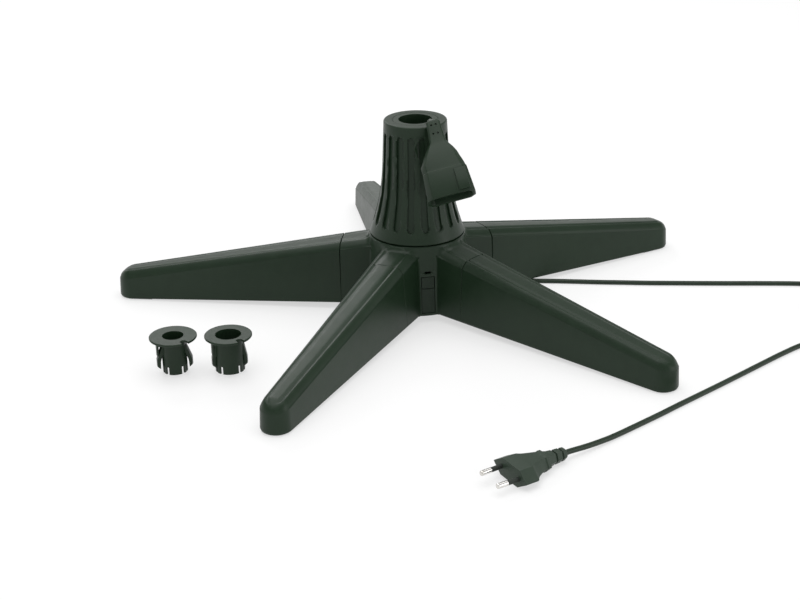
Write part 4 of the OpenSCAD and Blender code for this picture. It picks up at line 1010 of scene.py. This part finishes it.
@dataclass
class Studio:
    """Pale floor, soft lights and the camera at the photograph's place.

    The room's light has one strength low down and another overhead, and changes between two
    heights of the direction it comes from (0 at the horizon, 1 overhead). The veil is the share
    of plain white in the floor, as the camera and reflections see it.
    """

    camera_at: Point = (-0.24858944, -1.24241918, 0.54946936)
    forward: Point = (0.16866641, 0.90252919, -0.39622304)
    upward: Point = (0.09532827, 0.38516137, 0.91791244)
    sensor_mm: float = 36.0
    focal_pixels: float = 1575.6437
    picture_pixels: float = 800.0
    floor_width: float = 14.0
    pale: Point = (0.88, 0.88, 0.88)
    room_heights: tuple[float, float] = (0.12, 0.34)
    room_strengths: tuple[float, float] = (1.15, 0.45)
    veil: float = 0.6

    def camera(self) -> None:
        """Places the camera."""
        data = bpy.data.cameras.new("photo_camera")
        data.sensor_width = self.sensor_mm
        data.sensor_fit = "HORIZONTAL"
        data.lens = self.sensor_mm * self.focal_pixels / self.picture_pixels
        data.clip_start = 0.01
        camera = bpy.data.objects.new("photo_camera", data)
        back = -Vector(self.forward).normalized()
        up = (Vector(self.upward) - back * Vector(self.upward).dot(back)).normalized()
        right = up.cross(back)
        turn = Matrix((right, up, back)).transposed().to_4x4()
        camera.matrix_world = Matrix.Translation(self.camera_at) @ turn
        bpy.context.scene.collection.objects.link(camera)
        bpy.context.scene.camera = camera

    def floor(self) -> None:
        """Lays the floor, far enough to fill every view."""
        rest_mode()
        bpy.ops.mesh.primitive_plane_add(size=self.floor_width, location=(0, 0, 0))
        floor = bpy.context.object
        floor.name = "studio_floor"
        g = Graph("studio_paper")
        speck = g.noise(g.place(), 0.4, 2.0)
        g.surface(Base_Color=g.blend(speck.above(0.2, 0.8), self.pale, tuple(
            c + 0.02 for c in self.pale)))
        g.shader.inputs["Roughness"].default_value = 0.9
        g.shader.inputs["Specular IOR Level"].default_value = 0.1
        seen = g.node("ShaderNodeLightPath", result="Is Camera Ray")
        mirrored = g.node("ShaderNodeLightPath", result="Is Glossy Ray")
        g.overlay((seen + mirrored) * self.veil, (1.0, 1.0, 1.0))
        floor.data.materials.append(g.material)

    def light(self, name: str, at: Point, aim: Point, size: tuple[float, float],
              power: float) -> None:
        """Hangs one soft box.

        Args:
            name: Name of the lamp.
            at: Its place.
            aim: Point that it faces.
            size: Width and height.
            power: Watts.
        """
        data = bpy.data.lights.new(name, "AREA")
        data.shape = "RECTANGLE"
        data.size, data.size_y = size
        data.energy = power
        lamp = bpy.data.objects.new(name, data)
        lamp.location = at
        lamp.rotation_euler = (Vector(aim) - Vector(at)).to_track_quat("-Z", "Y").to_euler()
        bpy.context.scene.collection.objects.link(lamp)

    def build(self) -> None:
        """Sets up the whole studio."""
        scene = bpy.context.scene
        scene.view_settings.view_transform = "Standard"
        world = bpy.data.worlds.new("studio_room")
        world.use_nodes = True
        tree = world.node_tree
        sky = tree.nodes["Background"]
        sky.inputs["Color"].default_value = (1.0, 1.0, 1.0, 1.0)
        where = tree.nodes.new("ShaderNodeTexCoord")
        split = tree.nodes.new("ShaderNodeSeparateXYZ")
        fall = tree.nodes.new("ShaderNodeMapRange")
        steps = zip(("From Min", "From Max", "To Min", "To Max"),
                    self.room_heights + self.room_strengths)
        for key, value in steps:
            fall.inputs[key].default_value = value
        tree.links.new(where.outputs["Generated"], split.inputs[0])
        tree.links.new(split.outputs["Z"], fall.inputs["Value"])
        tree.links.new(fall.outputs[0], sky.inputs["Strength"])
        scene.world = world
        self.camera()
        self.floor()
        self.light("overhead_box", at=(0, 0, 2.4), aim=(0, 0, 0), size=(3.0, 3.0), power=52)
        self.light("back_box", at=(-0.35, 1.6, 1.3), aim=(-0.1, 0, 0.05), size=(0.9, 0.6), power=8)
        self.light("right_box", at=(1.8, -1.1, 0.7), aim=(0, 0, 0.06), size=(1.0, 0.8), power=6)


# ---- Assembly ----


def dress_nodes(wardrobe: Wardrobe) -> None:
    """Gives every carried-over node the finish of its slot.

    Args:
        wardrobe: Source of finishes.
    """
    for entry in frame["record"]["subparts"]:
        wardrobe.dress(frame["nodes"][entry["node"]], Finish[entry["material_slot"]])


def main() -> None:
    """Builds the studio, the cord and every piece."""
    logging.basicConfig(level=logging.INFO, format="%(message)s")
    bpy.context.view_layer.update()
    wardrobe = Wardrobe()
    Studio().build()
    dress_nodes(wardrobe)
    on_cord = [FlatPlug().build(wardrobe), frame["nodes"]["plug_pins"],
               frame["nodes"]["plug_sleeves"]]
    MainsCord().build(wardrobe, on_cord)
    azimuths = tuple(90.0 + 72 * k for k in range(5))
    for number, azimuth in enumerate(azimuths, 1):
        Skin(f"leg_{number}", Body.BASE, degrees=28.0, seams=(azimuth,),
             drawn_back=True).build(wardrobe)
    Skin("hub_casing", Body.BASE, degrees=28.0, seams=azimuths).build(wardrobe)
    FlutedCone().build(wardrobe)
    Skin("pole_insert", Body.INSERT, rounding=0.25).build(wardrobe)
    Skin("small_insert", Body.BASE, rounding=0.25).build(wardrobe)
    Skin("middle_insert", Body.BASE, rounding=0.25).build(wardrobe)
    Skin("coupling_lead", Body.ROTOR, Finish.cord_sheath).build(wardrobe)
    Coupling().build(wardrobe)


if __name__ == "__main__":
    main()
